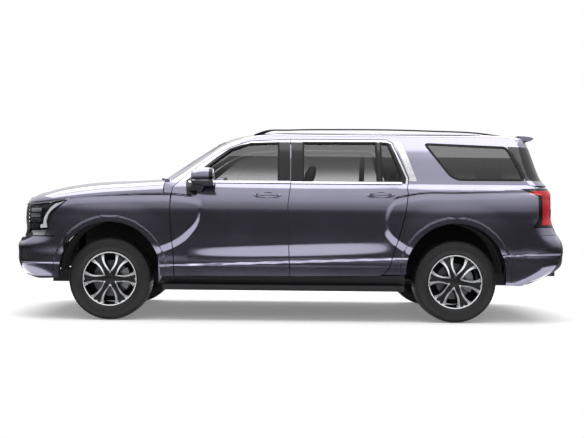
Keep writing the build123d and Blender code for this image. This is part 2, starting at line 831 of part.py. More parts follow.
with BuildPart() as left_body_side:
    add(common(wall("low", 0, WALL), quarter_shape, LEFT))
    add(common(wall("low", 20, WALL), rocker_shape, LEFT))
    add(common(wall("low", 0, 20), cowl_corner, LEFT))
    add(common(wall("high", 0, PILLAR), LEFT, block(COWL_REAR_X, 3000, -FAR, 0, BELT_Z, 1900)))
    add(roof_cut, mode=Mode.SUBTRACT)
    add(block(-1450, -1000, -560, 560, 1300, 1700), mode=Mode.SUBTRACT)
    add(front_door_hole, mode=Mode.SUBTRACT)
    add(rear_door_hole, mode=Mode.SUBTRACT)
    add(REAR_ARCH, mode=Mode.SUBTRACT)
    add(glass_hole, mode=Mode.SUBTRACT)
    add(common(wall("high", -5, PANE_DEPTH), glass_seat), mode=Mode.SUBTRACT)
    add(end_region(windscreen_hole_half, 0, -1600, -300), mode=Mode.SUBTRACT)
    add(
        common(wall("high", -5, PANE_DEPTH), end_region(windscreen_hole_half, 18, -1600, -300)),
        mode=Mode.SUBTRACT,
    )
    add(tailgate_keep, mode=Mode.SUBTRACT)
    add(common(tail_lamp_hole, wall("low", -5, 60 + SEAT_GAP)), mode=Mode.SUBTRACT)
    add(block(PILLAR_FRONT_X, PILLAR_REAR_X, -HALF_WIDTH + 70, -PILLAR_INNER_Y, SILL_BOTTOM_Z, 1215))
    add(block(COWL_REAR_X, PILLAR_REAR_X, -HALF_WIDTH + 70, -PILLAR_INNER_Y, 1215, BELT_Z + 30))
    add(block(
        PILLAR_FRONT_X, FRONT_DOOR_HINGE_X + 6, -HALF_WIDTH + INNER_DEPTH + 20, -PILLAR_INNER_Y, 500, 1250,
    ))
    add(
        block(
            PILLAR_FRONT_X,
            SILL_REAR_X,
            -HALF_WIDTH + INNER_DEPTH,
            -FLOOR_HALF_WIDTH,
            SILL_BOTTOM_Z,
            FLOOR_Z + FLOOR_THICKNESS,
        )
    )
    add(
        block(
            B_PILLAR_FRONT_X,
            B_PILLAR_REAR_X,
            -HALF_WIDTH + INNER_DEPTH + 20,
            -HALF_WIDTH + 200,
            FLOOR_Z + FLOOR_THICKNESS,
            BELT_Z,
        )
    )
    add(common(wall("high", 52, 110), block(B_PILLAR_FRONT_X, B_PILLAR_REAR_X, -FAR, -300, BELT_Z, 1815)))
    for hinge_x in (FRONT_DOOR_HINGE_X, REAR_DOOR_HINGE_X):
        for piece in body_leaves(hinge_x, HALF_WIDTH - INNER_DEPTH - 30):
            add(piece)
    for hinge_x in (FRONT_DOOR_HINGE_X, REAR_DOOR_HINGE_X):
        for bore in leaf_bores(hinge_x):
            add(bore, mode=Mode.SUBTRACT)
save(left_body_side.part, "left_body_side")
with BuildPart() as right_body_side:
    add(other_side(left_body_side.part))
save(right_body_side.part, "right_body_side")

with BuildPart() as quarter_glasses:
    add(common(
        wall("high", PANE_DEPTH - GLASS - SEAT_GAP, PANE_DEPTH - SEAT_GAP), side_region(SIDE_GLASS, 14),
    ))
save(quarter_glasses.part, "quarter_glasses")

with BuildPart() as windscreen:
    add(common(
        wall("high", PANE_DEPTH - GLASS - SEAT_GAP, PANE_DEPTH - SEAT_GAP),
        end_region(windscreen_hole_half, 14, -1600, -300),
    ))
save(windscreen.part, "windscreen")

print("roof, tailgate", flush=True)
# ---------------------------------------------------------------- roof and tailgate
TAIL_HINGE_X = 2256
TAIL_HINGE_DEPTH = 22
TAIL_HINGE_Z = reach_at([(-x, z) for z, x in TAIL_HIGH], -TAIL_HINGE_X) - TAIL_HINGE_DEPTH
TAIL_HINGE_Y = 430
TAIL_LEAF = 24
HEADER_TOP_Z = TAIL_HINGE_Z - 56
HEADER_BOTTOM_Z = HEADER_TOP_Z - 45

with BuildPart() as roof_panel:
    add(common(
        wall("high", 0, 40),
        block(-1450, TAILGATE_FRONT_X - SHUT_GAP, -ROOF_HALF_WIDTH, ROOF_HALF_WIDTH, 1600, 2000),
    ))
    add(end_region(windscreen_hole_half, 0, -1600, -300), mode=Mode.SUBTRACT)
    add(
        common(wall("high", -5, PANE_DEPTH), end_region(windscreen_hole_half, 18, -1600, -300)),
        mode=Mode.SUBTRACT,
    )
    add(block(
        TAILGATE_FRONT_X - 90,
        TAIL_HINGE_X + 6,
        -ROOF_HALF_WIDTH,
        ROOF_HALF_WIDTH,
        HEADER_BOTTOM_Z,
        HEADER_TOP_Z,
    ))
    add(block(
        TAILGATE_FRONT_X - 90,
        TAILGATE_FRONT_X - 60,
        -ROOF_HALF_WIDTH,
        ROOF_HALF_WIDTH,
        HEADER_BOTTOM_Z,
        TAIL_HINGE_Z + 10,
    ))
    for side in (-1, 1):
        y = side * TAIL_HINGE_Y
        add(rod(
            (TAIL_HINGE_X, y - TAIL_LEAF / 2, TAIL_HINGE_Z),
            (TAIL_HINGE_X, y + TAIL_LEAF / 2, TAIL_HINGE_Z),
            KNUCKLE_RADIUS,
        ))
        add(block(
            TAIL_HINGE_X - 6,
            TAIL_HINGE_X + 6,
            y - TAIL_LEAF / 2,
            y + TAIL_LEAF / 2,
            HEADER_TOP_Z - 5,
            TAIL_HINGE_Z,
        ))
        add(
            rod(
                (TAIL_HINGE_X, y - TAIL_LEAF, TAIL_HINGE_Z),
                (TAIL_HINGE_X, y + TAIL_LEAF, TAIL_HINGE_Z),
                BORE_RADIUS,
            ),
            mode=Mode.SUBTRACT,
        )
save(roof_panel.part, "roof_panel")

TAIL_WINDOW = [(0, 1372), (690, 1372), (640, 1640), (606, 1736), (0, 1748)]
tailgate_shape = end_region(TAILGATE_HALF, 0, 2100, 3000)
tailgate_inner = end_region(
    [(0, 905), (745, 905), (752, 1290), (724, BELT_Z), (650, 1730), (600, 1770), (590, 1950)], 0, 2100, 3000,
)
behind_header = side_region([
    (TAIL_HINGE_X + 34, 1745), (TAIL_HINGE_X + 34, 1950), (3000, 1950), (3000, 860), (2200, 860),
    (2200, 1745),
])
top_strip = side_region([
    (TAILGATE_FRONT_X, 1745), (TAILGATE_FRONT_X, 1950), (3000, 1950), (3000, 860), (2330, 860), (2330, 1745),
])
with BuildPart() as tailgate:
    add(common(wall("low", 0, SKIN), tailgate_shape, block(2300, 3000, -FAR, FAR, 700, 1345)))
    add(common(wall("low", SKIN, WALL - 20), tailgate_inner, block(2300, 3000, -FAR, FAR, 700, 1345)))
    add(common(wall("high", 0, SKIN), tailgate_shape, top_strip))
    add(common(wall("high", SKIN, 45), tailgate_inner, behind_header))
    add(end_region(TAIL_WINDOW, 0, 2100, 3000), mode=Mode.SUBTRACT)
    add(common(wall("high", -5, PANE_DEPTH), end_region(TAIL_WINDOW, 16, 2330, 3000)), mode=Mode.SUBTRACT)
    for side in (-1, 1):
        y = side * TAIL_HINGE_Y
        half = TAIL_LEAF / 2
        add(rod(
            (TAIL_HINGE_X, y - half - 14, TAIL_HINGE_Z),
            (TAIL_HINGE_X, y + half + 14, TAIL_HINGE_Z),
            PIN_RADIUS,
        ))
        for low, high in ((y - half - 14, y - half - 2), (y + half + 2, y + half + 14)):
            add(rod((TAIL_HINGE_X, low, TAIL_HINGE_Z), (TAIL_HINGE_X, high, TAIL_HINGE_Z), KNUCKLE_RADIUS))
            add(block(
                TAIL_HINGE_X,
                TAIL_HINGE_X + 50,
                low,
                high,
                TAIL_HINGE_Z - KNUCKLE_RADIUS,
                TAIL_HINGE_Z + KNUCKLE_RADIUS,
            ))
    for y in (-PLATE_BOLT_SPACING / 2, PLATE_BOLT_SPACING / 2):
        add(rod((2600, y, REAR_PLATE_Z), (2800, y, REAR_PLATE_Z), PLATE_BOLT_RADIUS), mode=Mode.SUBTRACT)
save(tailgate.part, "tailgate")

with BuildPart() as tailgate_glass:
    add(common(
        wall("high", PANE_DEPTH - GLASS - SEAT_GAP, PANE_DEPTH - SEAT_GAP),
        end_region(TAIL_WINDOW, 12, 2330, 3000),
    ))
save(tailgate_glass.part, "tailgate_glass")

with BuildPart() as rear_spoiler:
    add(side_region(
        [(2300, 1870), (2458, 1846), (2470, 1838), (2462, 1822), (2424, 1806), (2330, 1820)], 0, -600, 600,
    ))
    add(body("high", -0.8), mode=Mode.SUBTRACT)
save(rear_spoiler.part, "rear_spoiler")

RAIL_BAR_Y = 640
roof_rail_path = [
    (-376, 1846), (-275, 1884), (-12, 1901), (495, 1912), (1103, 1912), (1407, 1905), (1914, 1885),
    (2117, 1857),
]
with BuildPart() as roof_rails:
    with BuildSketch(Plane.XZ.offset(RAIL_BAR_Y - 16)) as outline:
        with BuildLine():
            Spline(*roof_rail_path)
            Line(roof_rail_path[-1], (2110, 1830))
            Spline((2110, 1830), (1914, 1858), (1103, 1886), (495, 1888), (-275, 1858), (-376, 1826))
            Line((-376, 1826), roof_rail_path[0])
        make_face()
    extrude(amount=32)
    add(body("high", -SEAT_GAP), mode=Mode.SUBTRACT)
    mirror(about=Plane.XZ)
save(roof_rails.part, "roof_rails")

print("floor, frame", flush=True)
# ---------------------------------------------------------------- floor, firewall and wheelhouses
WHEELHOUSE_INNER_Y = 560
LINER = 10


def wheelhouse(axle_x, radius, top_z):
    """Left wheelhouse: a half-round liner over the wheel with an inner wall."""
    outer = arch(axle_x, radius, top_z, LINER)
    inner = arch(axle_x, radius, top_z)
    inner_y = -WHEELHOUSE_INNER_Y
    shell = common(outer, block(-3000, 3000, -HALF_WIDTH + 132, inner_y, RAIL_TOP_Z + 15, 1100))
    bay = common(inner, block(-3000, 3000, -HALF_WIDTH, inner_y - LINER, 0, 1100))
    return made_of(shell, less=[bay])


rear_house = wheelhouse(REAR_AXLE_X, REAR_ARCH_RADIUS - 12, REAR_ARCH_TOP - 12)
rear_house_space = common(
    arch(REAR_AXLE_X, REAR_ARCH_RADIUS - 12, REAR_ARCH_TOP - 12),
    block(-3000, 3000, -HALF_WIDTH, -WHEELHOUSE_INNER_Y, 0, 1100),
)
FIREWALL_X = PILLAR_FRONT_X
CARGO_END_X = 2510
with BuildPart() as floor_pan:
    add(block(FIREWALL_X, PILLAR_REAR_X, -PILLAR_INNER_Y, PILLAR_INNER_Y, FLOOR_Z, FLOOR_Z + FLOOR_THICKNESS))
    add(block(PILLAR_REAR_X, 2150, -FLOOR_HALF_WIDTH, FLOOR_HALF_WIDTH, FLOOR_Z, FLOOR_Z + FLOOR_THICKNESS))
    add(block(2150, CARGO_END_X, -640, 640, FLOOR_Z, FLOOR_Z + FLOOR_THICKNESS))
    add(rear_house_space, mode=Mode.SUBTRACT)
    add(other_side(rear_house_space), mode=Mode.SUBTRACT)
    add(both_sides(rear_house))
    add(block(FIREWALL_X, FIREWALL_X + 25, -PILLAR_INNER_Y, PILLAR_INNER_Y, FLOOR_Z, 1230))
    add(block(-1330, -1200, -PILLAR_INNER_Y, PILLAR_INNER_Y, 1230, 1290))
    for x in (-1000, 0, 1000, 2200):
        for side in (-1, 1):
            add(rod((x, side * RAIL_Y, RAIL_TOP_Z), (x, side * RAIL_Y, FLOOR_Z), 35))
    add(block(-1500, -1300, -740, 740, 1306, 1318))
    add(block(-1330, -1300, -740, 740, 1290, 1318))
    for side in (-1, 1):
        y = side * HOOD_HINGE_Y
        half = HOOD_HINGE_WIDTH / 2
        add(rod(
            (HOOD_HINGE_X, y - half, HOOD_HINGE_Z), (HOOD_HINGE_X, y + half, HOOD_HINGE_Z), KNUCKLE_RADIUS,
        ))
        add(block(HOOD_HINGE_X - 6, HOOD_HINGE_X + 6, y - half, y + half, 1290, HOOD_HINGE_Z))
        add(
            rod((HOOD_HINGE_X, y - 20, HOOD_HINGE_Z), (HOOD_HINGE_X, y + 20, HOOD_HINGE_Z), BORE_RADIUS),
            mode=Mode.SUBTRACT,
        )
save(floor_pan.part, "floor_pan")

front_house = wheelhouse(FRONT_AXLE_X, FRONT_ARCH_RADIUS, FRONT_ARCH_TOP + 4)
with BuildPart() as front_liners:
    add(front_house)
    add(block(-2335, PILLAR_FRONT_X, -WING_RAIL_Y, -WING_RAIL_Y + 25, 955, 1120))
    add(arch(FRONT_AXLE_X, FRONT_ARCH_RADIUS, FRONT_ARCH_TOP + 4), mode=Mode.SUBTRACT)
    add(block(PILLAR_FRONT_X, 0, -FAR, FAR, 0, 1300), mode=Mode.SUBTRACT)
    mirror(about=Plane.XZ)
save(front_liners.part, "front_wheelhouses")

with BuildPart() as ladder_frame:
    for side in (-1, 1):
        inner = side * (RAIL_Y - RAIL_WIDTH / 2)
        outer = side * (RAIL_Y + RAIL_WIDTH / 2)
        add(block(RAIL_FRONT_X, REAR_AXLE_X - 100, inner, outer, RAIL_BOTTOM_Z, RAIL_TOP_Z))
        add(block(REAR_AXLE_X + 100, 2400, inner, outer, RAIL_BOTTOM_Z, RAIL_TOP_Z))
        add(block(REAR_AXLE_X - 160, REAR_AXLE_X + 160, inner, outer, RAIL_TOP_Z - 1, FLOOR_Z))
        add(block(FRAME_FRONT_X, RAIL_FRONT_X + 40, inner, outer, RAIL_TOP_Z - 1, 600))
        add(block(2300, 2400, inner, outer, RAIL_TOP_Z - 1, FLOOR_Z))
        add(block(2380, RAIL_REAR_X, inner, outer, RAIL_TOP_Z - 20, FLOOR_Z))
    for x in (RAIL_FRONT_X + 40, -1300, -500, 500, 1200, 2050, 2360):
        add(block(x - 40, x + 40, -RAIL_Y, RAIL_Y, RAIL_BOTTOM_Z + 20, RAIL_TOP_Z - 20))
    add(block(SUPPORT_X, SUPPORT_X + 60, -740, 740, 880, 1110))
    add(block(SUPPORT_X, SUPPORT_X + 60, -600, 600, 600, 1110))
save(ladder_frame.part, "ladder_frame")

STEP_FRONT_X = -1235
STEP_REAR_X = 1105
STEP_BRACKET_Z = RAIL_BOTTOM_Z - 20
with BuildPart() as side_steps:
    with BuildSketch(Plane.YZ.offset(STEP_FRONT_X)) as outline:
        with Locations((-HALF_WIDTH + 50, 322)):
            RectangleRounded(120, 44, 20)
    extrude(outline.sketch, amount=STEP_REAR_X - STEP_FRONT_X)
    for x in (-900, 0, 900):
        add(block(x - 25, x + 25, -HALF_WIDTH + 60, -RAIL_Y, STEP_BRACKET_Z, STEP_BRACKET_Z + 12))
        add(block(x - 25, x + 25, -RAIL_Y - RAIL_WIDTH / 2, -RAIL_Y, STEP_BRACKET_Z, RAIL_BOTTOM_Z))
    mirror(about=Plane.XZ)
save(side_steps.part, "side_steps")

print("running gear", flush=True)
# ---------------------------------------------------------------- wheels
HUB_RADIUS = 85
DISC_RADIUS = 175
STEER_AXIS_Y = WHEEL_Y - 42
STUB_RADIUS = 28


WINDOW_COUNT = 6
WINDOW_TIP_RADIUS = 95
WINDOW_SHOULDER_RADIUS = 175
WINDOW_TOP_RADIUS = 224
WINDOW_HALF_WIDTH = 72


def turned(radius, across, angle):
    """Point at a radius and a distance across it, turned about the wheel's middle."""
    turn = radians(angle)
    return (radius * cos(turn) - across * sin(turn), radius * sin(turn) + across * cos(turn))


def tyre(x, side):
    """Tyre as a revolved ring."""
    half = TYRE_WIDTH / 2
    with BuildPart() as solid:
        with BuildSketch(Plane.XY) as ring:
            with BuildLine():
                Polyline((-half + 12, RIM_RADIUS), (-half + 12, RIM_LIP_RADIUS + 4), (-half, 330))
                Polyline(
                    (-half, 330), (-half + 5, 368), (-half + 22, TYRE_RADIUS - 8), (-half + 45, TYRE_RADIUS),
                )
                Line((-half + 45, TYRE_RADIUS), (half - 45, TYRE_RADIUS))
                Polyline((half - 45, TYRE_RADIUS), (half - 22, TYRE_RADIUS - 8), (half - 5, 368), (half, 330))
                Polyline((half, 330), (half - 12, RIM_LIP_RADIUS + 4), (half - 12, RIM_RADIUS))
                Line((half - 12, RIM_RADIUS), (-half + 12, RIM_RADIUS))
            make_face()
        revolve(axis=Axis.X)
    return Pos(x, side * WHEEL_Y, TYRE_RADIUS) * Rot(0, 0, 90) * solid.part


def wheel(x):
    """Left wheel: rim barrel, dished face with six windows, hub and brake disc."""
    half = TYRE_WIDTH / 2 - 12
    face_y = -half + 30
    with BuildPart() as solid:
        with BuildSketch(Plane.XY) as ring:
            with BuildLine():
                Polyline(
                    (-half, RIM_LIP_RADIUS - 20),
                    (-half, RIM_RADIUS),
                    (half, RIM_RADIUS),
                    (half, RIM_LIP_RADIUS - 20),
                    close=False,
                )
                Polyline(
                    (half, RIM_LIP_RADIUS - 20), (half - 12, RIM_RADIUS - 12), (-half + 12, RIM_RADIUS - 12),
                    (-half, RIM_LIP_RADIUS - 20),
                )
            make_face()
        revolve(axis=Axis.X)
        with BuildSketch(Plane.YZ.offset(face_y - 14)):
            Circle(RIM_RADIUS - 10)
        extrude(amount=28)
        for step in range(WINDOW_COUNT):
            turn = 90 + 360 * step / WINDOW_COUNT
            tip = turned(WINDOW_TIP_RADIUS, 0, turn)
            corners = [turned(WINDOW_SHOULDER_RADIUS, side * WINDOW_HALF_WIDTH, turn) for side in (-1, 1)]
            with BuildSketch(Plane.YZ.offset(face_y - 30)):
                with BuildLine():
                    Line(tip, corners[0])
                    ThreePointArc(corners[0], turned(WINDOW_TOP_RADIUS, 0, turn), corners[1])
                    Line(corners[1], tip)
                make_face()
            extrude(amount=60, mode=Mode.SUBTRACT)
        with BuildSketch(Plane.YZ.offset(face_y - 20)):
            Circle(HUB_RADIUS - 20)
        extrude(amount=100)
        with BuildSketch(Plane.YZ.offset(face_y + 60)):
            Circle(DISC_RADIUS)
        extrude(amount=24)
        with BuildSketch(Plane.YZ.offset(face_y + 40)):
            Circle(STUB_RADIUS + 0.3)
        extrude(amount=60, mode=Mode.SUBTRACT)
    return Pos(x, -WHEEL_Y, TYRE_RADIUS) * Rot(0, 0, 90) * solid.part


for axle_name, axle_x in (("front", FRONT_AXLE_X), ("rear", REAR_AXLE_X)):
    with BuildPart() as left_tyre:
        add(tyre(axle_x, -1))
    save(left_tyre.part, f"{axle_name}_left_tyre")
    with BuildPart() as right_tyre:
        add(other_side(left_tyre.part))
    save(right_tyre.part, f"{axle_name}_right_tyre")
    with BuildPart() as left_wheel:
        add(wheel(axle_x))
    save(left_wheel.part, f"{axle_name}_left_wheel")
    with BuildPart() as right_wheel:
        add(other_side(left_wheel.part))
    save(right_wheel.part, f"{axle_name}_right_wheel")

# ---------------------------------------------------------------- knuckles, arms and axle
STUB_OUTER_Y = WHEEL_Y + TYRE_WIDTH / 2 - 12 - 30 - 45
UPPER_BALL_Z = TYRE_RADIUS + 160
LOWER_BALL_Z = TYRE_RADIUS - 100
with BuildPart() as left_knuckle:
    add(rod(
        (FRONT_AXLE_X, -STUB_OUTER_Y, TYRE_RADIUS),
        (FRONT_AXLE_X, -STEER_AXIS_Y + 70, TYRE_RADIUS),
        STUB_RADIUS,
    ))
    add(block(
        FRONT_AXLE_X - 22,
        FRONT_AXLE_X + 22,
        -STEER_AXIS_Y + 40,
        -STEER_AXIS_Y + 84,
        LOWER_BALL_Z - 10,
        UPPER_BALL_Z + 10,
    ))
    add(rod(
        (FRONT_AXLE_X, -STEER_AXIS_Y + 62, UPPER_BALL_Z - 20),
        (FRONT_AXLE_X, -STEER_AXIS_Y + 62, UPPER_BALL_Z + 40), 14,
    ))
    add(rod(
        (FRONT_AXLE_X, -STEER_AXIS_Y + 62, LOWER_BALL_Z - 40),
        (FRONT_AXLE_X, -STEER_AXIS_Y + 62, LOWER_BALL_Z + 20), 14,
    ))
save(left_knuckle.part, "left_knuckle")
with BuildPart() as right_knuckle:
    add(other_side(left_knuckle.part))
save(right_knuckle.part, "right_knuckle")

KING_Y = STEER_AXIS_Y - 62
ARM_FRONT_X = 950
with BuildPart() as suspension_arms:
    for z in (UPPER_BALL_Z + 28, LOWER_BALL_Z - 28):
        add(rod((FRONT_AXLE_X, -KING_Y, z - 12), (FRONT_AXLE_X, -KING_Y, z + 12), 28))
        for offset_x in (-150, 150):
            add(rod(
                (FRONT_AXLE_X, -KING_Y + 10, z), (FRONT_AXLE_X + offset_x, -RAIL_Y - RAIL_WIDTH / 2 - 14, z),
                12,
            ))
            add(
                block(
                    FRONT_AXLE_X + offset_x - 25,
                    FRONT_AXLE_X + offset_x + 25,
                    -RAIL_Y - RAIL_WIDTH / 2 - 30,
                    -RAIL_Y - RAIL_WIDTH / 2,
                    min(z, RAIL_BOTTOM_Z) - 20 if z < 400 else RAIL_BOTTOM_Z,
                    z + 20 if z > 400 else RAIL_TOP_Z,
                )
            )
    add(rod((FRONT_AXLE_X, -KING_Y, 200), (FRONT_AXLE_X, -KING_Y, 700), 14 + SEAT_GAP), mode=Mode.SUBTRACT)
    add(block(
        ARM_FRONT_X - 40, ARM_FRONT_X, -525, -RAIL_Y - RAIL_WIDTH / 2, TYRE_RADIUS - 40, TYRE_RADIUS + 20,
    ))
    mirror(about=Plane.XZ)
save(suspension_arms.part, "suspension_arms")

with BuildPart() as rear_axle:
    add(rod((REAR_AXLE_X, -STUB_OUTER_Y, TYRE_RADIUS), (REAR_AXLE_X, STUB_OUTER_Y, TYRE_RADIUS), STUB_RADIUS))
    add(rod((REAR_AXLE_X, -660, TYRE_RADIUS), (REAR_AXLE_X, 660, TYRE_RADIUS), 45))
    with Locations((REAR_AXLE_X, 0, TYRE_RADIUS - 45)):
        Sphere(108)
    for side in (-1, 1):
        add(rod((ARM_FRONT_X, side * 500, TYRE_RADIUS - 10), (REAR_AXLE_X, side * 500, TYRE_RADIUS - 10), 22))
save(rear_axle.part, "rear_axle")

print("cabin and power", flush=True)
# ---------------------------------------------------------------- engine, tank and exhaust
with BuildPart() as engine:
    add(block(-2150, -1400, -260, 260, 430, 1050))
    add(block(-1400, -1310, -160, 160, 430, 470))
save(engine.part, "engine")

with BuildPart() as fuel_tank:
    add(block(560, 1140, -RAIL_Y + RAIL_WIDTH / 2, RAIL_Y - RAIL_WIDTH / 2, 270, RAIL_TOP_Z - 5))
save(fuel_tank.part, "fuel_tank")

EXHAUST_Y = 522
EXHAUST_Z = 388
with BuildPart() as exhaust:
    add(rod((-1000, EXHAUST_Y, EXHAUST_Z), (820, EXHAUST_Y, EXHAUST_Z), 30))
    add(rod((200, EXHAUST_Y, EXHAUST_Z), (800, EXHAUST_Y, EXHAUST_Z), 60))
    add(rod((800, EXHAUST_Y, EXHAUST_Z), (1085, 760, 350), 30))
    for x in (-500, 100, 850):
        add(block(x - 10, x + 10, RAIL_Y + RAIL_WIDTH / 2, EXHAUST_Y, EXHAUST_Z - 12, EXHAUST_Z + 12))
save(exhaust.part, "exhaust")

# ---------------------------------------------------------------- cabin
SEAT_BASE_Z = FLOOR_Z + FLOOR_THICKNESS


def seat(x, y, width, lift):
    """One seat: cushion on a plinth, raked back and head rest."""
    low = SEAT_BASE_Z
    top = low + lift
    back = side_region(
        [
            (x + 440, top), (x + 560, top), (x + 720, top + 620), (x + 620, top + 630),
        ], 0, y - width / 2, y + width / 2
    )
    head = side_region(
        [
            (x + 640, top + 640), (x + 730, top + 635), (x + 760, top + 820), (x + 680, top + 820),
        ], 0, y - 140, y + 140
    )
    return [
        block(x, x + 520, y - width / 2, y + width / 2, top - 130, top),
        block(x + 60, x + 460, y - width / 2 + 60, y + width / 2 - 60, low, top - 130),
        back,
        head,
        block(x + 655, x + 700, y - 60, y + 60, top + 600, top + 660),
    ]


with BuildPart() as front_seats:
    for y in (-410, 410):
        for piece in seat(-560, y, 520, 330):
            add(piece)
save(front_seats.part, "front_seats")

with BuildPart() as middle_seats:
    for y in (-400, 400):
        for piece in seat(380, y, 560, 360):
            add(piece)
save(middle_seats.part, "middle_seats")

with BuildPart() as rear_seats:
    for piece in seat(1330, 0, 1040, 400):
        add(piece)
save(rear_seats.part, "rear_seats")

STEER_CENTRE = (-760, -410, 1090)
STEER_TILT = 25
SHAFT_RADIUS = 18
SHAFT_END = 110
SHROUD_START = 60
SHROUD_RADIUS = 36
column = Vector(-cos(radians(STEER_TILT)), 0, -sin(radians(STEER_TILT)))
centre = Vector(*STEER_CENTRE)
with BuildPart() as dashboard:
    add(side_region(
        [(-1200, 860), (-1200, 1290), (-1150, 1325), (-930, 1250), (-900, 1100), (-1000, 900)], 0, -760, 760,
    ))
    add(block(-1265, -1100, -120, 120, SEAT_BASE_Z, 900))
    add(block(-1000, -500, -110, 110, SEAT_BASE_Z, 760))
    add(block(-1120, -950, -110, 110, SEAT_BASE_Z, 950))
    add(rod(tuple(centre + column * SHROUD_START), tuple(centre + column * (SHAFT_END + 80)), SHROUD_RADIUS))
    add(
        rod(
            tuple(centre + column * SHROUD_START),
            tuple(centre + column * (SHAFT_END + 2)),
            SHAFT_RADIUS + SEAT_GAP,
        ),
        mode=Mode.SUBTRACT,
    )
save(dashboard.part, "dashboard")

with BuildPart() as steering_wheel:
    with BuildSketch(Plane(origin=centre, x_dir=(0, 1, 0), z_dir=column)) as boss:
        Circle(70)
    extrude(amount=50)
    with BuildSketch(Plane(origin=centre + column * 10, x_dir=(0, 1, 0), z_dir=column)):
        Rectangle(350, 36)
        with Locations((0, -90)):
            Rectangle(36, 180)
    extrude(amount=14)
    rim_plane = Plane(origin=centre + column * 10, x_dir=(0, 1, 0), z_dir=column)
    add(rim_plane * Torus(180, 16, mode=Mode.PRIVATE))
    add(rod(tuple(centre + column * 40), tuple(centre + column * SHAFT_END), SHAFT_RADIUS))
save(steering_wheel.part, "steering_wheel")
print("done", flush=True)
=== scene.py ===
"""Looks of a long five-door sport utility vehicle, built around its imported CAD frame.

The frame has +Z up, the nose towards -X and the vehicle's left side towards -Y. Shapes are worked out in
millimetres and written to meshes in metres.
"""

import json
import logging
import math
from dataclasses import dataclass, field
from enum import Enum
from typing import Callable, Iterable, Sequence

import bmesh
import bpy
import numpy as np
from mathutils import Matrix, Vector
from mathutils.geometry import delaunay_2d_cdt

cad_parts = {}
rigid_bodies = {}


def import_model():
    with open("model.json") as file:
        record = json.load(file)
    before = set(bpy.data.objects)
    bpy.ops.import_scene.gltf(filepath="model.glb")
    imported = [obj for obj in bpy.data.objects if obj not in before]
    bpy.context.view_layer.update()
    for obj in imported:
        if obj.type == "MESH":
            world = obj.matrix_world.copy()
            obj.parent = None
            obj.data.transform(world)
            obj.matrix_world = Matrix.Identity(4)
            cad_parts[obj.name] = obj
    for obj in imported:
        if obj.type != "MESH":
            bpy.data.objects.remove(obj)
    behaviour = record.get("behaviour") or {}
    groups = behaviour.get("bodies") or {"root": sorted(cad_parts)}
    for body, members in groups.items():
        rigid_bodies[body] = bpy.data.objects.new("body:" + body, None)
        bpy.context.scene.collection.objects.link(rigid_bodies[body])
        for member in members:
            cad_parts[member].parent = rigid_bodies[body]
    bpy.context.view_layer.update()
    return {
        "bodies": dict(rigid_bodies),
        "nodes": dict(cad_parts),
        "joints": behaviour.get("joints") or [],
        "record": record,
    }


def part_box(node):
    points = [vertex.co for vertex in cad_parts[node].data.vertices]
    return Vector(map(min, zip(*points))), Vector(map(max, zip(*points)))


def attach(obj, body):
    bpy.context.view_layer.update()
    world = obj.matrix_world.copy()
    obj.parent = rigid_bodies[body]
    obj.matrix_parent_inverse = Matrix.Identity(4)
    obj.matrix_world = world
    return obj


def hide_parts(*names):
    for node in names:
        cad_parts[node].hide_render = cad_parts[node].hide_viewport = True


log = logging.getLogger("vehicle")
Array = np.ndarray
Point2 = tuple[float, float]
Point3 = tuple[float, float, float]
MM = 0.001

HALF_LENGTH = 2775.0
HALF_WIDTH = 1000.0
BELT_Z = 1345.0
FRONT_AXLE_X = -1755.0
REAR_AXLE_X = 1605.0
WHEEL_Y = 857.5
TYRE_RADIUS = 400.0
TYRE_WIDTH = 265.0
FRONT_ARCH = (FRONT_AXLE_X, 465.0, 492.0)
REAR_ARCH = (REAR_AXLE_X, 484.0, 485.0)
SHUT_GAP = 8.0
# Thickness of a painted skin, which is also how far the carcass behind it is sunk.
SKIN = 4.4
# Grid steps of the skins along and up the body, finest where the relief is.
DOOR_GRID = (12, 9)
BUMPER_GRID = (13, 10)
BODY_GRID = (14, 10)
GATE_FRAME_GRID = (14, 8)
UPPER_GRID = (20, 9)
HOOD_GRID = (24, 13)
ROOF_GRID = (30, 20)
BAND_GRID = (14, 7)
WHEEL_GRID = (6, 6)


class Side(Enum):
    """Side of the vehicle, with the sign of its Y."""

    LEFT = -1
    RIGHT = 1

    @property
    def word(self) -> str:
        """The side's name in body and node names."""
        return self.name.lower()


# ---------------------------------------------------------------- materials
def linear(code: str) -> tuple[float, float, float, float]:
    """An sRGB hex colour as linear light.

    Args:
        code: Six hex digits, with or without a leading mark.
    Returns:
        Red, green, blue and a full alpha.
    """
    text = code.lstrip("#")
    channels = [int(text[i : i + 2], 16) / 255 for i in (0, 2, 4)]
    light = [c / 12.92 if c <= 0.04045 else ((c + 0.055) / 1.055) ** 2.4 for c in channels]
    return (light[0], light[1], light[2], 1.0)


def add_node(
    tree: bpy.types.NodeTree, kind: str, links: dict | None = None, **settings: object,
) -> bpy.types.Node:
    """Adds a node with its settings, socket values and links.

    Args:
        tree: Tree that takes the node.
        kind: Blender's type name for the node.
        links: Input socket name or number to an output socket or a plain value.
        settings: Attributes of the node itself.
    Returns:
        The new node.
    """
    node = tree.nodes.new(kind)
    for name, value in settings.items():
        setattr(node, name, value)
    for key, value in (links or {}).items():
        socket = node.inputs[key]
        if isinstance(value, bpy.types.NodeSocket):
            tree.links.new(value, socket)
        else:
            socket.default_value = value
    return node


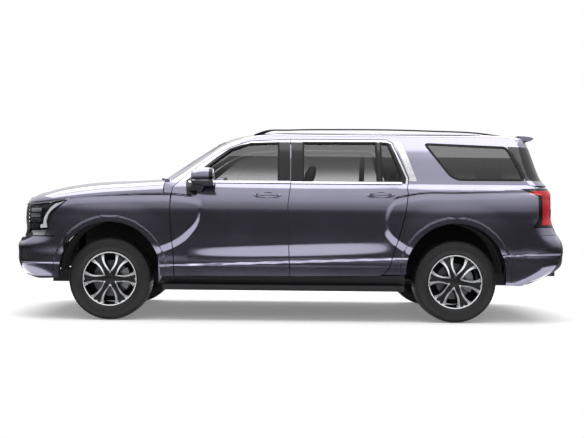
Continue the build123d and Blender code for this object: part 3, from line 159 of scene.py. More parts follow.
@dataclass(frozen=True)
class Finish:
    """A real material as a procedural shader.

    The two tones are mixed by noise of the given real size, so that no face is one flat colour. Bump size is
    the width of the surface's own grain.
    """

    name: str
    tone: str
    second_tone: str
    patch_mm: float = 60.0
    grain_mm: float = 1.5
    grain_depth_mm: float = 0.03
    metallic: float = 0.0
    roughness: float = 0.5
    roughness_swing: float = 0.08
    coat: float = 0.0
    coat_roughness: float = 0.03
    ior: float = 1.5
    transmission: float = 0.0
    alpha: float = 1.0
    sheen: float = 0.0
    emission: float = 0.0
    anisotropy: float = 0.0
    # Alpha at the top of a pane, reached between 1.42 m and 1.62 m up: painted shade that darkens glass
    # towards its top.
    shade_alpha: float = 0.0
    pattern: str = "noise"

    def build(self) -> bpy.types.Material:
        """Returns the finish's material, made on first use."""
        made = bpy.data.materials.get(self.name)
        if made is not None:
            return made
        material = bpy.data.materials.new(self.name)
        material.use_nodes = True
        tree = material.node_tree
        tree.nodes.clear()
        place = add_node(tree, "ShaderNodeTexCoord")
        patches = add_node(
            tree, "ShaderNodeTexNoise",
            {"Vector": place.outputs["Object"], "Scale": 1 / (self.patch_mm * MM), "Detail": 4.0},
        )
        tones = add_node(tree, "ShaderNodeValToRGB", {"Fac": patches.outputs["Fac"]})
        tones.color_ramp.elements[0].position = 0.35
        tones.color_ramp.elements[0].color = linear(self.tone)
        tones.color_ramp.elements[1].position = 0.65
        tones.color_ramp.elements[1].color = linear(self.second_tone)
        gloss = add_node(
            tree,
            "ShaderNodeMapRange",
            {
                "Value": patches.outputs["Fac"], "To Min": max(self.roughness - self.roughness_swing, 0.0),
                "To Max": min(self.roughness + self.roughness_swing, 1.0),
            },
        )
        links: dict = {
            "Base Color": tones.outputs["Color"], "Roughness": gloss.outputs["Result"],
            "Metallic": self.metallic, "Coat Weight": self.coat, "Coat Roughness": self.coat_roughness,
            "Transmission Weight": self.transmission, "Alpha": self.alpha, "Sheen Weight": self.sheen,
            "Anisotropic": self.anisotropy,
        }
        if not self.metallic:
            links["IOR"] = self.ior
        # Painted shade: alpha rises with height, so the pane darkens towards its top.
        if self.shade_alpha:
            height = add_node(tree, "ShaderNodeSeparateXYZ", {0: place.outputs["Object"]})
            shade = add_node(
                tree,
                "ShaderNodeMapRange",
                {
                    "Value": height.outputs["Z"], "From Min": 1.42, "From Max": 1.62, "To Min": self.alpha,
                    "To Max": self.shade_alpha,
                },
                interpolation_type="SMOOTHSTEP",
            )
            links["Alpha"] = shade.outputs["Result"]
        if self.emission:
            links["Emission Strength"] = self.emission
            links["Emission Color"] = linear(self.tone)
        if self.grain_depth_mm:
            links["Normal"] = self._grain(tree, place).outputs["Normal"]
        shader = add_node(tree, "ShaderNodeBsdfPrincipled", links)
        out = add_node(tree, "ShaderNodeOutputMaterial")
        tree.links.new(shader.outputs["BSDF"], out.inputs["Surface"])
        return material

    def _grain(self, tree: bpy.types.NodeTree, place: bpy.types.Node) -> bpy.types.Node:
        """Adds the bump of the surface's grain.

        Args:
            tree: The material's tree.
            place: Its texture coordinate node.
        Returns:
            The bump node.
        """
        scale = 1 / (self.grain_mm * MM)
        if self.pattern == "hide":
            cells = add_node(
                tree, "ShaderNodeTexVoronoi", {"Vector": place.outputs["Object"], "Scale": scale},
            )
            height = cells.outputs["Distance"]
        elif self.pattern == "weave":
            across = add_node(
                tree, "ShaderNodeTexWave", {"Vector": place.outputs["Object"], "Scale": scale / 6},
                bands_direction="X",
            )
            along = add_node(
                tree, "ShaderNodeTexWave", {"Vector": place.outputs["Object"], "Scale": scale / 6},
                bands_direction="Y",
            )
            joined = add_node(
                tree, "ShaderNodeMath", {0: across.outputs["Fac"], 1: along.outputs["Fac"]},
                operation="MAXIMUM",
            )
            height = joined.outputs["Value"]
        else:
            noise = add_node(
                tree, "ShaderNodeTexNoise",
                {"Vector": place.outputs["Object"], "Scale": scale, "Detail": 3.0},
            )
            height = noise.outputs["Fac"]
        return add_node(
            tree, "ShaderNodeBump", {"Height": height, "Distance": self.grain_depth_mm * MM, "Strength": 1.0},
        )


# Metallic base coat under clear lacquer: the eye sees a soft metal glow with sharp reflections over it.
PAINT = Finish(
    "metallic_lacquer_slate_violet", "#918FA3", "#9593A7", patch_mm=400, grain_mm=0.6, grain_depth_mm=0.0,
    metallic=0.94, roughness=0.14, roughness_swing=0.02, coat=1.0, coat_roughness=0.02,
)
# Moulded polypropylene with a fine leather grain: dull, a little grey where light rakes it.
TRIM = Finish(
    "moulded_polypropylene_black", "#17171A", "#1E1E21", grain_mm=2.0, grain_depth_mm=0.12, roughness=0.62,
)
# Lacquered ABS: deep black with sharp reflections.
PIANO = Finish("lacquered_abs_black", "#0B0C0D", "#101112", patch_mm=200, grain_depth_mm=0.0, roughness=0.12,
               roughness_swing=0.02)
# Satin nickel plate on ABS: pale, slightly clouded metal.
SATIN = Finish(
    "satin_nickel_plate", "#C4C4C8", "#CDCDD1", patch_mm=25, grain_mm=0.8, grain_depth_mm=0.0, metallic=1.0,
    roughness=0.26,
)
# Dark satin plate of the grille frame.
DARK_SATIN = Finish(
    "dark_satin_nickel_plate", "#7C7D81", "#86878C", patch_mm=25, grain_mm=0.8, grain_depth_mm=0.0,
    metallic=1.0, roughness=0.3,
)
# Hard-anodised black aluminium of the roof rails: a soft sheen along its length.
SATIN_BLACK = Finish(
    "anodised_aluminium_black", "#1B1C1E", "#232427", patch_mm=80, grain_mm=1.2, grain_depth_mm=0.02,
    metallic=0.5, roughness=0.4,
)
# Bright chrome plate: mirror-like, pale.
CHROME = Finish(
    "bright_chrome_plate", "#DADCDF", "#E2E4E6", patch_mm=200, grain_depth_mm=0.0, metallic=1.0,
    roughness=0.08, roughness_swing=0.02,
)
# Diamond-turned aluminium under clear lacquer: fine turning lines catch the light.
TURNED = Finish(
    "turned_aluminium_lacquered", "#D5D7DA", "#E4E6E8", patch_mm=18, grain_mm=0.7, grain_depth_mm=0.01,
    metallic=1.0, roughness=0.24, coat=0.6,
)
# Cast aluminium painted gloss black.
WHEEL_BLACK = Finish(
    "cast_aluminium_painted_black", "#0A0A0C", "#0F0F11", patch_mm=15, grain_mm=1.2, grain_depth_mm=0.0,
    roughness=0.3,
)
# Vulcanised tread rubber: almost black, slightly grey from dust and bloom.
RUBBER = Finish(
    "vulcanised_tyre_rubber", "#121213", "#171718", patch_mm=70, grain_mm=1.4, grain_depth_mm=0.03,
    roughness=0.42,
)
# Bare machined cast iron of the discs, wiped bright by the pads.
DISC_IRON = Finish(
    "swept_cast_iron", "#4A4A4C", "#5A5A5C", patch_mm=12, grain_mm=0.7, grain_depth_mm=0.0, metallic=1.0,
    roughness=0.36,
)
# Rough sand-cast iron.
CAST_IRON = Finish(
    "sand_cast_iron", "#3C3A38", "#4B4845", patch_mm=20, grain_mm=2.5, grain_depth_mm=0.25, metallic=0.6,
    roughness=0.62,
)
# Caliper casting with silver paint.
CALIPER = Finish(
    "cast_caliper_silver_paint", "#8D8F92", "#9C9EA1", patch_mm=20, grain_mm=1.6, grain_depth_mm=0.08,
    metallic=0.5, roughness=0.42,
)
# Cathodic dip primer on the pressed steel frame: satin black.
FRAME_BLACK = Finish(
    "dip_primed_steel_black", "#1A1A1B", "#242424", patch_mm=120, grain_mm=3.0, grain_depth_mm=0.1,
    metallic=0.2, roughness=0.5,
)
# Rolled stainless steel of the exhaust, a little yellowed by heat.
STAINLESS = Finish(
    "rolled_stainless_steel", "#8E8982", "#A09A90", patch_mm=60, grain_mm=1.0, grain_depth_mm=0.03,
    metallic=1.0, roughness=0.35,
)
# Blow-moulded polyethylene of the tank.
TANK = Finish(
    "blow_moulded_polyethylene", "#202123", "#2A2B2D", patch_mm=90, grain_mm=4.0, grain_depth_mm=0.2,
    roughness=0.55,
)
# Felted wheel arch liner: matt, fibrous.
LINER = Finish(
    "felted_arch_liner", "#0F0F10", "#161617", patch_mm=30, grain_mm=1.8, grain_depth_mm=0.3, roughness=0.95,
    sheen=0.1,
)
# Dyed and embossed hide: dark warm grey with pebble grain.
HIDE = Finish(
    "embossed_hide_dark", "#1C1A1A", "#242121", patch_mm=80, grain_mm=2.2, grain_depth_mm=0.04, roughness=0.5,
    pattern="hide",
)
# Perforated hide of the seat centres: a shade lighter.
HIDE_CENTRE = Finish(
    "perforated_hide_grey", "#282524", "#302D2B", patch_mm=60, grain_mm=3.4, grain_depth_mm=0.06,
    roughness=0.58, pattern="hide",
)
# Slush-moulded skin of dashboard and door trims.
CABIN = Finish(
    "slush_moulded_skin", "#18181A", "#202022", patch_mm=90, grain_mm=2.4, grain_depth_mm=0.04, roughness=0.6,
    pattern="hide",
)
# Knitted polyester roof lining: matt, its dark grey partly the lining's own tone and partly painted shade
# that keeps the cabin dim.
LINING = Finish(
    "knitted_roof_lining", "#3F3D3B", "#474542", patch_mm=40, grain_mm=3.0, grain_depth_mm=0.05,
    roughness=0.9, sheen=0.3, pattern="weave",
)
# Dark body-tinted glass: shows the cabin faintly, with full reflections. It grows more opaque towards its top
# as painted shade for the darker top of the panes.
GLASS = Finish(
    "tinted_toughened_glass", "#0E1214", "#101416", patch_mm=500, grain_depth_mm=0.0, roughness=0.0,
    roughness_swing=0.0, alpha=0.2, shade_alpha=0.62, coat=1.0, coat_roughness=0.0,
)
# Privacy glass behind the rear doors: nearly black, and more opaque still towards its top as painted shade.
PRIVACY = Finish(
    "privacy_toughened_glass", "#0B0D0F", "#0D0F11", patch_mm=500, grain_depth_mm=0.0, roughness=0.0,
    roughness_swing=0.0, alpha=0.55, shade_alpha=0.93, coat=1.0, coat_roughness=0.0,
)
# Clear polycarbonate lamp cover.
CLEAR = Finish("clear_polycarbonate", "#3A3D40", "#404346", patch_mm=300, grain_depth_mm=0.0, roughness=0.02,
               roughness_swing=0.01, alpha=0.1, coat=1.0)
# Red acrylic of the rear lamps.
RED = Finish("red_acrylic", "#B80A1C", "#C41024", patch_mm=60, grain_depth_mm=0.0, roughness=0.2,
             roughness_swing=0.02, emission=0.3)
# Dark red acrylic round the light bands.
DARK_RED = Finish(
    "smoked_red_acrylic", "#3A0508", "#4A080C", patch_mm=60, grain_mm=3.0, grain_depth_mm=0.05, roughness=0.1,
    roughness_swing=0.02, coat=1.0,
)
# Orange acrylic of the upper strip.
ORANGE = Finish(
    "orange_red_acrylic", "#E0452A", "#EA5A38", patch_mm=40, grain_mm=3.0, grain_depth_mm=0.05, roughness=0.1,
    roughness_swing=0.02, coat=1.0, emission=0.35,
)
# Aluminised reflector inside the lamps.
REFLECTOR = Finish(
    "aluminised_reflector", "#C4C7CB", "#E4E6E9", patch_mm=9, grain_mm=4.0, grain_depth_mm=0.0, metallic=1.0,
    roughness=0.14,
)
# Frosted white light guide.
LIGHT_GUIDE = Finish(
    "frosted_light_guide", "#E9EDF0", "#F4F6F8", patch_mm=30, grain_mm=2.0, grain_depth_mm=0.05,
    roughness=0.25, coat=0.5, emission=0.3,
)
# Mirror glass: silvered.
SILVERED = Finish(
    "silvered_glass", "#C9CDD0", "#CED2D5", patch_mm=300, grain_depth_mm=0.0, metallic=1.0, roughness=0.02,
    roughness_swing=0.01,
)
# Blank number plate: painted aluminium, off-white.
PLATE = Finish(
    "painted_plate_white", "#D8D8D4", "#DEDEDA", patch_mm=50, grain_mm=1.2, grain_depth_mm=0.02,
    roughness=0.35,
)
# EPDM door seal: matt black foam rubber.
SEAL = Finish(
    "epdm_seal", "#101010", "#161616", patch_mm=30, grain_mm=1.5, grain_depth_mm=0.1, roughness=0.85,
)


# ---------------------------------------------------------------- curves and outlines
def curve(points: Sequence[Point2], x: Array | float) -> Array:
    """Smooth reading of a table of points, carried on straight past its ends.

    Args:
        points: Pairs of x and value, with x rising.
        x: Where to read.
    Returns:
        The values, in x's shape.
    """
    xs, ys = np.array(points, float).T
    step = np.diff(xs)
    rise = np.diff(ys) / step
    slope = np.empty_like(xs)
    slope[1:-1] = (rise[:-1] * step[1:] + rise[1:] * step[:-1]) / (step[:-1] + step[1:])
    slope[0], slope[-1] = rise[0], rise[-1]
    at = np.asarray(x, float)
    i = np.clip(np.searchsorted(xs, at) - 1, 0, len(xs) - 2)
    t = np.clip((at - xs[i]) / step[i], 0, 1)
    inner = (
        (2 * t**3 - 3 * t**2 + 1) * ys[i]
        + (t**3 - 2 * t**2 + t) * step[i] * slope[i]
        + (3 * t**2 - 2 * t**3) * ys[i + 1]
        + (t**3 - t**2) * step[i] * slope[i + 1]
    )
    below = np.minimum(at - xs[0], 0) * slope[0]
    above = np.maximum(at - xs[-1], 0) * slope[-1]
    return inner + below + above


def smooth(low: float | Array, high: float | Array, value: Array) -> Array:
    """Smooth step from 0 at low to 1 at high."""
    t = np.clip((value - low) / (high - low), 0, 1)
    return t * t * (3 - 2 * t)


def offset_loop(points: Array, amount: float) -> Array:
    """Closed outline moved square to its edges; a positive amount grows it.

    Args:
        points: Corners of the outline.
        amount: Distance of the move.
    Returns:
        The moved corners.
    """
    points = np.asarray(points, float)
    ahead = np.roll(points, -1, 0) - points
    area = np.sum(points[:, 0] * np.roll(points[:, 1], -1) - np.roll(points[:, 0], -1) * points[:, 1])
    ahead /= np.linalg.norm(ahead, axis=1)[:, None] + 1e-9
    normal = np.stack([ahead[:, 1], -ahead[:, 0]], 1) * (1 if area > 0 else -1)
    back = np.roll(normal, 1, 0)
    bisector = normal + back
    length = np.maximum(np.sum(bisector * normal, axis=1), 0.35)
    return points + bisector / length[:, None] * amount


def resample(points: Array, step: float, closed: bool = True) -> Array:
    """Outline with points added so that no run is longer than step."""
    ends = np.vstack([points, points[:1]]) if closed else points
    out = []
    for a, b in zip(ends[:-1], ends[1:]):
        count = max(int(math.ceil(np.linalg.norm(b - a) / step)), 1)
        out.extend(a + (b - a) * k / count for k in range(count))
    if not closed:
        out.append(ends[-1])
    return np.array(out)


def rounded(points: Sequence[Point2], radius: float, steps: int = 5) -> Array:
    """Closed outline with its corners rounded.

    Args:
        points: Corners of the outline.
        radius: Largest radius; a short edge takes a smaller one.
        steps: Points on each corner.
    Returns:
        The rounded outline.
    """
    corners = np.array(points, float)
    out = []
    for i, corner in enumerate(corners):
        before, after = corners[i - 1] - corner, corners[(i + 1) % len(corners)] - corner
        reach = min(radius, np.linalg.norm(before) * 0.45, np.linalg.norm(after) * 0.45)
        start = corner + before / np.linalg.norm(before) * reach
        end = corner + after / np.linalg.norm(after) * reach
        for k in range(steps + 1):
            t = k / steps
            out.append((1 - t) ** 2 * start + 2 * t * (1 - t) * corner + t * t * end)
    return np.array(out)


def inside(loop: Array, points: Array) -> Array:
    """Which points lie inside a closed outline, by counting crossings."""
    result = np.zeros(len(points), bool)
    for (x0, y0), (x1, y1) in zip(loop, np.roll(loop, -1, 0)):
        if y0 != y1:
            crosses = (y0 > points[:, 1]) != (y1 > points[:, 1])
            result ^= crosses & (points[:, 0] < x0 + (points[:, 1] - y0) * (x1 - x0) / (y1 - y0))
    return result


def cut_off(loop: Array, limit: float, above: bool) -> Array:
    """Part of a closed outline above or below a height."""
    out = []
    for p, q in zip(loop, np.roll(loop, -1, 0)):
        p_in, q_in = (p[1] >= limit) == above, (q[1] >= limit) == above
        if p_in:
            out.append(p)
        if p_in != q_in:
            out.append(p + (q - p) * (limit - p[1]) / (q[1] - p[1]))
    return np.array(out)


def triangulate(loops: Sequence[Array], step: Point2) -> tuple[Array, Array]:
    """Fills an outline, less its cuts, with an even grid of triangles.

    Args:
        loops: Outline, then cuts, which may reach past it.
        step: Grid spacing along the two axes.
    Returns:
        Points, and triangles turned the same way round.
    """
    scale = np.array(step, float)
    scaled = [resample(loop / scale, 1.0) for loop in loops]

    def kept(points: Array) -> Array:
        """Which points lie in the outline and in no cut."""
        inner = inside(scaled[0], points)
        for cut in scaled[1:]:
            inner &= ~inside(cut, points)
        return inner

    border = np.vstack(scaled)
    edges, start = [], 0
    for loop in scaled:
        edges += [(start + k, start + (k + 1) % len(loop)) for k in range(len(loop))]
        start += len(loop)
    low, high = np.floor(scaled[0].min(0)), np.ceil(scaled[0].max(0))
    us, vs = np.meshgrid(np.arange(low[0], high[0] + 1), np.arange(low[1], high[1] + 1))
    grid = np.stack([us.ravel(), vs.ravel()], 1)
    grid = grid[kept(grid)]
    for a in range(0, len(border), 200):
        if len(grid):
            apart = np.linalg.norm(grid[:, None] - border[None, a : a + 200], axis=2).min(1)
            grid = grid[apart > 0.5]
    out, _, faces, *_ = delaunay_2d_cdt([Vector(p) for p in np.vstack([border, grid])], edges, [], 0, 1e-6)
    flat = np.array([tuple(p) for p in out])
    triangles = np.array([f for f in faces if len(f) == 3])
    triangles = triangles[kept(flat[triangles].mean(1))]
    a, b, c = (flat[triangles[:, k]] for k in range(3))
    turn = (b[:, 0] - a[:, 0]) * (c[:, 1] - a[:, 1]) - (b[:, 1] - a[:, 1]) * (c[:, 0] - a[:, 0])
    triangles = triangles[np.abs(turn) > 1e-7]
    turn = turn[np.abs(turn) > 1e-7]
    triangles[turn < 0] = triangles[turn < 0][:, ::-1]
    used, index = np.unique(triangles, return_inverse=True)
    return flat[used] * scale, index.reshape(triangles.shape)


# ---------------------------------------------------------------- surfaces
class Surface:
    """A surface read by two numbers, with normals from its own slopes."""

    def place(self, u: Array, v: Array) -> Array:
        """Points of the surface in millimetres."""
        raise NotImplementedError

    def normal(self, u: Array, v: Array) -> Array:
        """Outward unit normals."""
        step = 0.5
        across = self.place(u + step, v) - self.place(u - step, v)
        up = self.place(u, v + step) - self.place(u, v - step)
        normal = np.cross(across, up)
        return normal / (np.linalg.norm(normal, axis=1)[:, None] + 1e-12)


@dataclass
class Shell(Surface):
    """Body envelope read by a run along the slice and a height.

    On the straight side the run is X itself. Past each end of it the run turns round the rounded nose or
    tail, a quarter turn for each TURN millimetres, and comes back along the other side.
    """

    TURN = 1150.0

    side: Sequence[Point2]
    nose: Sequence[Point2]
    tail: Sequence[Point2]
    nose_cap: Point3
    tail_cap: Point3
    relief: Callable[[Array, Array, Array], Array] | None = None

    def ends(self, z: Array) -> tuple[Array, Array]:
        """X where the nose's and the tail's rounding begin."""
        return -(curve(self.nose, z) - self.nose_cap[0]), curve(self.tail, z) - self.tail_cap[0]

    def base(self, s: Array, z: Array) -> Array:
        """Points of the envelope with no relief."""
        s, z = np.asarray(s, float), np.asarray(z, float)
        width = curve(self.side, z)
        front, rear = self.ends(z)
        at_nose = s < front
        turn = np.where(at_nose, front - s, np.maximum(s - rear, 0)) / self.TURN
        length = np.where(at_nose, self.nose_cap[0], self.tail_cap[0])
        p = np.where(at_nose, self.nose_cap[1], self.tail_cap[1])
        q = np.where(at_nose, self.nose_cap[2], self.tail_cap[2])
        share = np.cos(np.clip(turn, 0, 2) * math.pi / 2)
        along = np.maximum(1 - np.abs(share) ** q, 0) ** (1 / p)
        past = np.maximum(turn - 2, 0) * self.TURN
        x = np.where(
            at_nose, front - length * along + past, np.minimum(s, rear) + length * along * (turn > 0) - past,
        )
        return np.stack([x, -width * share, z], 1)

    def place(self, s: Array, z: Array) -> Array:
        """Points of the surface in millimetres."""
        points = self.base(s, z)
        if self.relief is None:
            return points
        step = 1.0
        across = self.base(s + step, z) - self.base(s - step, z)
        up = self.base(s, z + step) - self.base(s, z - step)
        normal = np.cross(across, up)
        normal /= np.linalg.norm(normal, axis=1)[:, None] + 1e-12
        return points + normal * self.relief(points[:, 0], points[:, 2], np.abs(normal[:, 1]))[:, None]

    def from_side(self, points: Iterable[Point2]) -> Array:
        """Run and height of points given in side view, as X and Z."""
        x, z = np.array(list(points), float).T
        front, rear = self.ends(z)
        run = x.copy()
        for end, cap, beyond in ((front, self.nose_cap, front - x), (rear, self.tail_cap, x - rear)):
            at = beyond > 0
            along = np.clip(beyond[at] / cap[0], 0, 1)
            share = (1 - along ** cap[1]) ** (1 / cap[2])
            turn = np.arccos(share) / (math.pi / 2) * self.TURN
            run[at] = end[at] + (turn if cap is self.tail_cap else -turn)
        return np.stack([run, z], 1)

    def from_end(self, points: Iterable[Point2], end: int) -> Array:
        """Run and height of points given in end view.

        Args:
            points: Pairs of a distance from the middle, positive on the left side, and Z.
            end: -1 at the nose, 1 at the tail.
        Returns:
            Rows of run and height.
        """
        y, z = np.array(list(points), float).T
        turn = np.arccos(np.clip(y / curve(self.side, z), -1, 1)) / (math.pi / 2) * self.TURN
        front, rear = self.ends(z)
        return np.stack([front - turn if end < 0 else rear + turn, z], 1)

    def across(self, points: Array, end: int) -> Array:
        """The outline's points on the other side of the middle, in reverse order."""
        front, rear = self.ends(points[:, 1])
        middle = front - self.TURN if end < 0 else rear + self.TURN
        return np.stack([2 * middle - points[:, 0], points[:, 1]], 1)[::-1]


SIDE_LOW = (
    (340, 938), (380, 955), (450, 973), (540, 986), (640, 983), (740, 985), (860, 991), (1000, 997),
    (1100, 1000), (1200, 993), (1290, 972), (BELT_Z, 946),
)
NOSE_LOW = (
    (340, 2540), (380, 2630), (450, 2720), (540, 2767), (640, 2775), (740, 2767), (800, 2713), (1000, 2695),
    (1100, 2683), (1200, 2635), (BELT_Z, 2515),
)
TAIL_LOW = (
    (340, 2445), (380, 2475), (450, 2625), (540, 2745), (640, 2773), (740, 2775), (800, 2755), (860, 2713),
    (1000, 2653), (1200, 2647), (1290, 2641), (BELT_Z, 2595),
)
SIDE_HIGH = (
    (BELT_Z, 946), (1395, 925), (1480, 893), (1620, 838), (1740, 785), (1790, 758), (1820, 736), (1845, 702),
    (1862, 654), (1875, 568), (1886, 420), (1892, 260),
)
NOSE_HIGH = (
    (BELT_Z, 1400), (1395, 1326), (1480, 1201), (1564, 1079), (1646, 958), (1729, 837), (1791, 715),
    (1833, 594), (1854, 472), (1866, 350), (1875, 150), (1886, -150), (1892, -350),
)
TAIL_HIGH = (
    (BELT_Z, 2595), (1409, 2545), (1488, 2515), (1620, 2478), (1740, 2445), (1800, 2425), (1831, 2400),
    (1854, 2264), (1866, 1935), (1875, 1595), (1886, 1325), (1892, 1125),
)


def arch_distance(arch: Point3, x: Array, z: Array) -> Array:
    """Distance outside a wheel opening that is round above its centre and straight below it."""
    return np.hypot(x - arch[0], np.maximum(z - arch[1], 0)) - arch[2]


FLARE_WIDTH = 56.0
CREASE = (
    (-2775, 545), (-2300, 540), (-1254, 527), (-1070, 533), (965, 608), (2079, 646), (2321, 662),
    (2775, 668),
)
FRONT_GROOVE = (
    (-2240, 1172), (-2100, 1192), (-1800, 1211), (-1400, 1222), (-1100, 1222), (-960, 1206), (-880, 1190),
)
REAR_GROOVE = (
    (930, 1180), (1010, 1206), (1125, 1232), (1260, 1254), (1600, 1262), (2230, 1282), (2500, 1290),
)
FRONT_BEND = (
    (560, -1420), (650, -1330), (720, -1180), (790, -1060), (860, -985), (930, -925), (1030, -888),
    (1130, -880), (1200, -900), (1260, -960),
)
REAR_BEND = (
    (560, 1330), (650, 1220), (720, 1110), (790, 1010), (860, 945), (940, 925), (1040, 935), (1130, 975),
    (1200, 1050), (1260, 1200),
)


def body_relief(x: Array, z: Array, facing: Array) -> Array:
    """Outward relief of the lower body: flares, wing and quarter bulges, grooves, scallop and lower crease.

    Args:
        x: Place along the vehicle.
        z: Height.
        facing: How squarely the surface faces the side, from 0 to 1.
    Returns:
        Outward distance in millimetres.
    """
    relief = np.zeros_like(x)
    for arch in (FRONT_ARCH, REAR_ARCH):
        gap = arch_distance(arch, x, z)
        relief += 3.0 * (1 - smooth(FLARE_WIDTH - 5, FLARE_WIDTH + 5, gap)) + 5.0 * (1 - smooth(0, 240, gap))
    for groove, forward in ((FRONT_GROOVE, True), (REAR_GROOVE, False)):
        line = curve(groove, x)
        ends = 1 - smooth(-1010, -900, x) if forward else smooth(950, 1080, x)
        above = smooth(-13, 13, z - line) * np.exp(-np.maximum(z - line - 13, 0) / 60)
        relief += 8.0 * above * ends
        bend = curve(FRONT_BEND if forward else REAR_BEND, z)
        width = np.interp(z, [600, 800, 950, 1180], [230, 110, 44, 50])
        ahead = (x - bend) if forward else (bend - x)
        bulge = 1 - smooth(-width * 0.5, width * 0.5, ahead)
        rise = 1 - smooth(-75, 5, z - line)
        relief += 13.0 * bulge * rise * smooth(560, 760, z)
    crease = curve(CREASE, x)
    tuck = np.maximum(986.0 - curve(SIDE_LOW, np.maximum(z, 400.0)), 0) * (z < 540)
    relief += (9.0 + tuck) * (1 - smooth(0, 15, z - crease))
    share = np.clip(1 - (x / 1010.0) ** 2, 0, 1) ** 0.5
    hollow = smooth(-2, 16, z - crease) * (1 - smooth(44, 185, z - crease))
    relief += 14.0 * share * (1 - hollow) * (1 - smooth(1150, BELT_Z, z))
    return relief * smooth(0.35, 0.8, facing)


LOW = Shell(SIDE_LOW, NOSE_LOW, TAIL_LOW, (450.0, 2.4, 4.0), (350.0, 2.4, 4.0), body_relief)
HIGH = Shell(SIDE_HIGH, NOSE_HIGH, TAIL_HIGH, (380.0, 2.0, 2.5), (280.0, 2.2, 4.5))


@dataclass
class Roof(Surface):
    """Roof read by X and Y, as the height where the upper body's envelope passes."""

    shell: Shell

    def place(self, x: Array, y: Array) -> Array:
        """Points of the surface in millimetres."""
        low, high = np.full(len(x), BELT_Z), np.full(len(x), 1896.0)
        for _ in range(34):
            z = (low + high) / 2
            front, rear = self.shell.ends(z)
            width = np.maximum(curve(self.shell.side, z), 1.0)
            level = np.zeros(len(x))
            for end, cap in ((front - x, self.shell.nose_cap), (x - rear, self.shell.tail_cap)):
                share = (np.abs(y) / width) ** cap[2] + np.maximum(end / cap[0], 0) ** cap[1]
                level = np.maximum(level, share)
            low, high = np.where(level < 1, z, low), np.where(level < 1, high, z)
        ribs = 3.0 * (smooth(40, 60, np.abs(y)) - smooth(150, 170, np.abs(y)) + smooth(270, 290, np.abs(y))
                      - smooth(380, 400, np.abs(y))) * smooth(-250, -150, x) * (1 - smooth(1900, 2000, x))
        return np.stack([x, y, low - 3.0 + ribs], 1)


HOOD_X = (-2610.0, -2540.0, -2440.0, -2300.0, -2100.0, -1850.0, -1550.0, -1243.0)
HOOD_SIDE_Z = (1150, 1143, 1148, 1162, 1183, 1206, 1226, 1237)
HOOD_TOP_Z = (1192, 1234, 1260, 1296, 1331, 1354, 1368, 1386)
HOOD_SQUARENESS = (4, 4, 4, 4.5, 5, 6, 7, 8)


@dataclass
class Hood(Surface):
    """Bonnet surface read by X and a share of the quarter turn from the middle to the edge, times REACH."""

    REACH = 1000.0

    def half(self, x: Array) -> Array:
        """Half width of the bonnet."""
        share = np.clip((x + HALF_LENGTH - 120) / 450.0, 0.0, 1.0)
        return (HALF_WIDTH - 7) * np.sqrt(1 - (1 - share) ** 2.4) ** 0.5

    def place(self, x: Array, v: Array) -> Array:
        """Points of the surface in millimetres."""
        low = curve(tuple(zip(HOOD_X, HOOD_SIDE_Z)), x)
        top = curve(tuple(zip(HOOD_X, HOOD_TOP_Z)), x)
        square = curve(tuple(zip(HOOD_X, HOOD_SQUARENESS)), x)
        share = np.sin(np.clip(v / self.REACH, -1, 1) * math.pi / 2)
        crown = np.sqrt(np.maximum(1 - np.abs(share) ** square, 0))
        y = self.half(x) * share
        ridge = smooth(330, 372, np.abs(y)) - smooth(372, 640, np.abs(y)) * 0.999
        dome = 6.0 * ridge * smooth(-2560, -2300, x) - 5.0 * (1 - smooth(
            250, 360, np.abs(y),
        )) * smooth(-2500, -2200, x)
        return np.stack([x, y, low + (top - low) * crown + dome], 1)

    def from_plan(self, points: Iterable[Point2]) -> Array:
        """Surface coordinates of points given as X and Y."""
        x, y = np.array(list(points), float).T
        share = np.clip(y / self.half(x), -0.9999, 0.9999)
        return np.stack([x, np.arcsin(share) / (math.pi / 2) * self.REACH], 1)


ROOF = Roof(HIGH)
HOOD = Hood()


# ---------------------------------------------------------------- pieces
def new_piece(name: str, points: Array, faces: Sequence[Sequence[int]], finish: Finish | Sequence[Finish],
              normals: Array | None = None, slots: Sequence[int] | None = None) -> bpy.types.Object:
    """Makes an object from millimetre points.

    Args:
        name: Object name.
        points: Rows of X, Y, Z in millimetres.
        faces: Vertex numbers of each face.
        finish: Its finish, or several.
        normals: One normal for each face corner, or None for the faces' own.
        slots: Number of each face's finish.
    Returns:
        The new object.
    """
    mesh = bpy.data.meshes.new(name)
    mesh.from_pydata((np.asarray(points) * MM).tolist(), [], [list(map(int, f)) for f in faces])
    for one in finish if isinstance(finish, (list, tuple)) else [finish]:
        mesh.materials.append(one.build())
    if slots is not None:
        mesh.polygons.foreach_set("material_index", np.asarray(slots, np.int32))
    if normals is not None:
        mesh.polygons.foreach_set("use_smooth", np.ones(len(mesh.polygons), bool))
        mesh.normals_split_custom_set(np.asarray(normals, np.float32).tolist())
    mesh.update()
    thing = bpy.data.objects.new(name, mesh)
    bpy.context.scene.collection.objects.link(thing)
    return thing


def face_normals(points: Array, faces: Array) -> Array:
    """Unit normal of each triangle or quad."""
    a, b, c = points[faces[:, 0]], points[faces[:, 1]], points[faces[:, 2]]
    normal = np.cross(b - a, c - a)
    return normal / (np.linalg.norm(normal, axis=1)[:, None] + 1e-12)


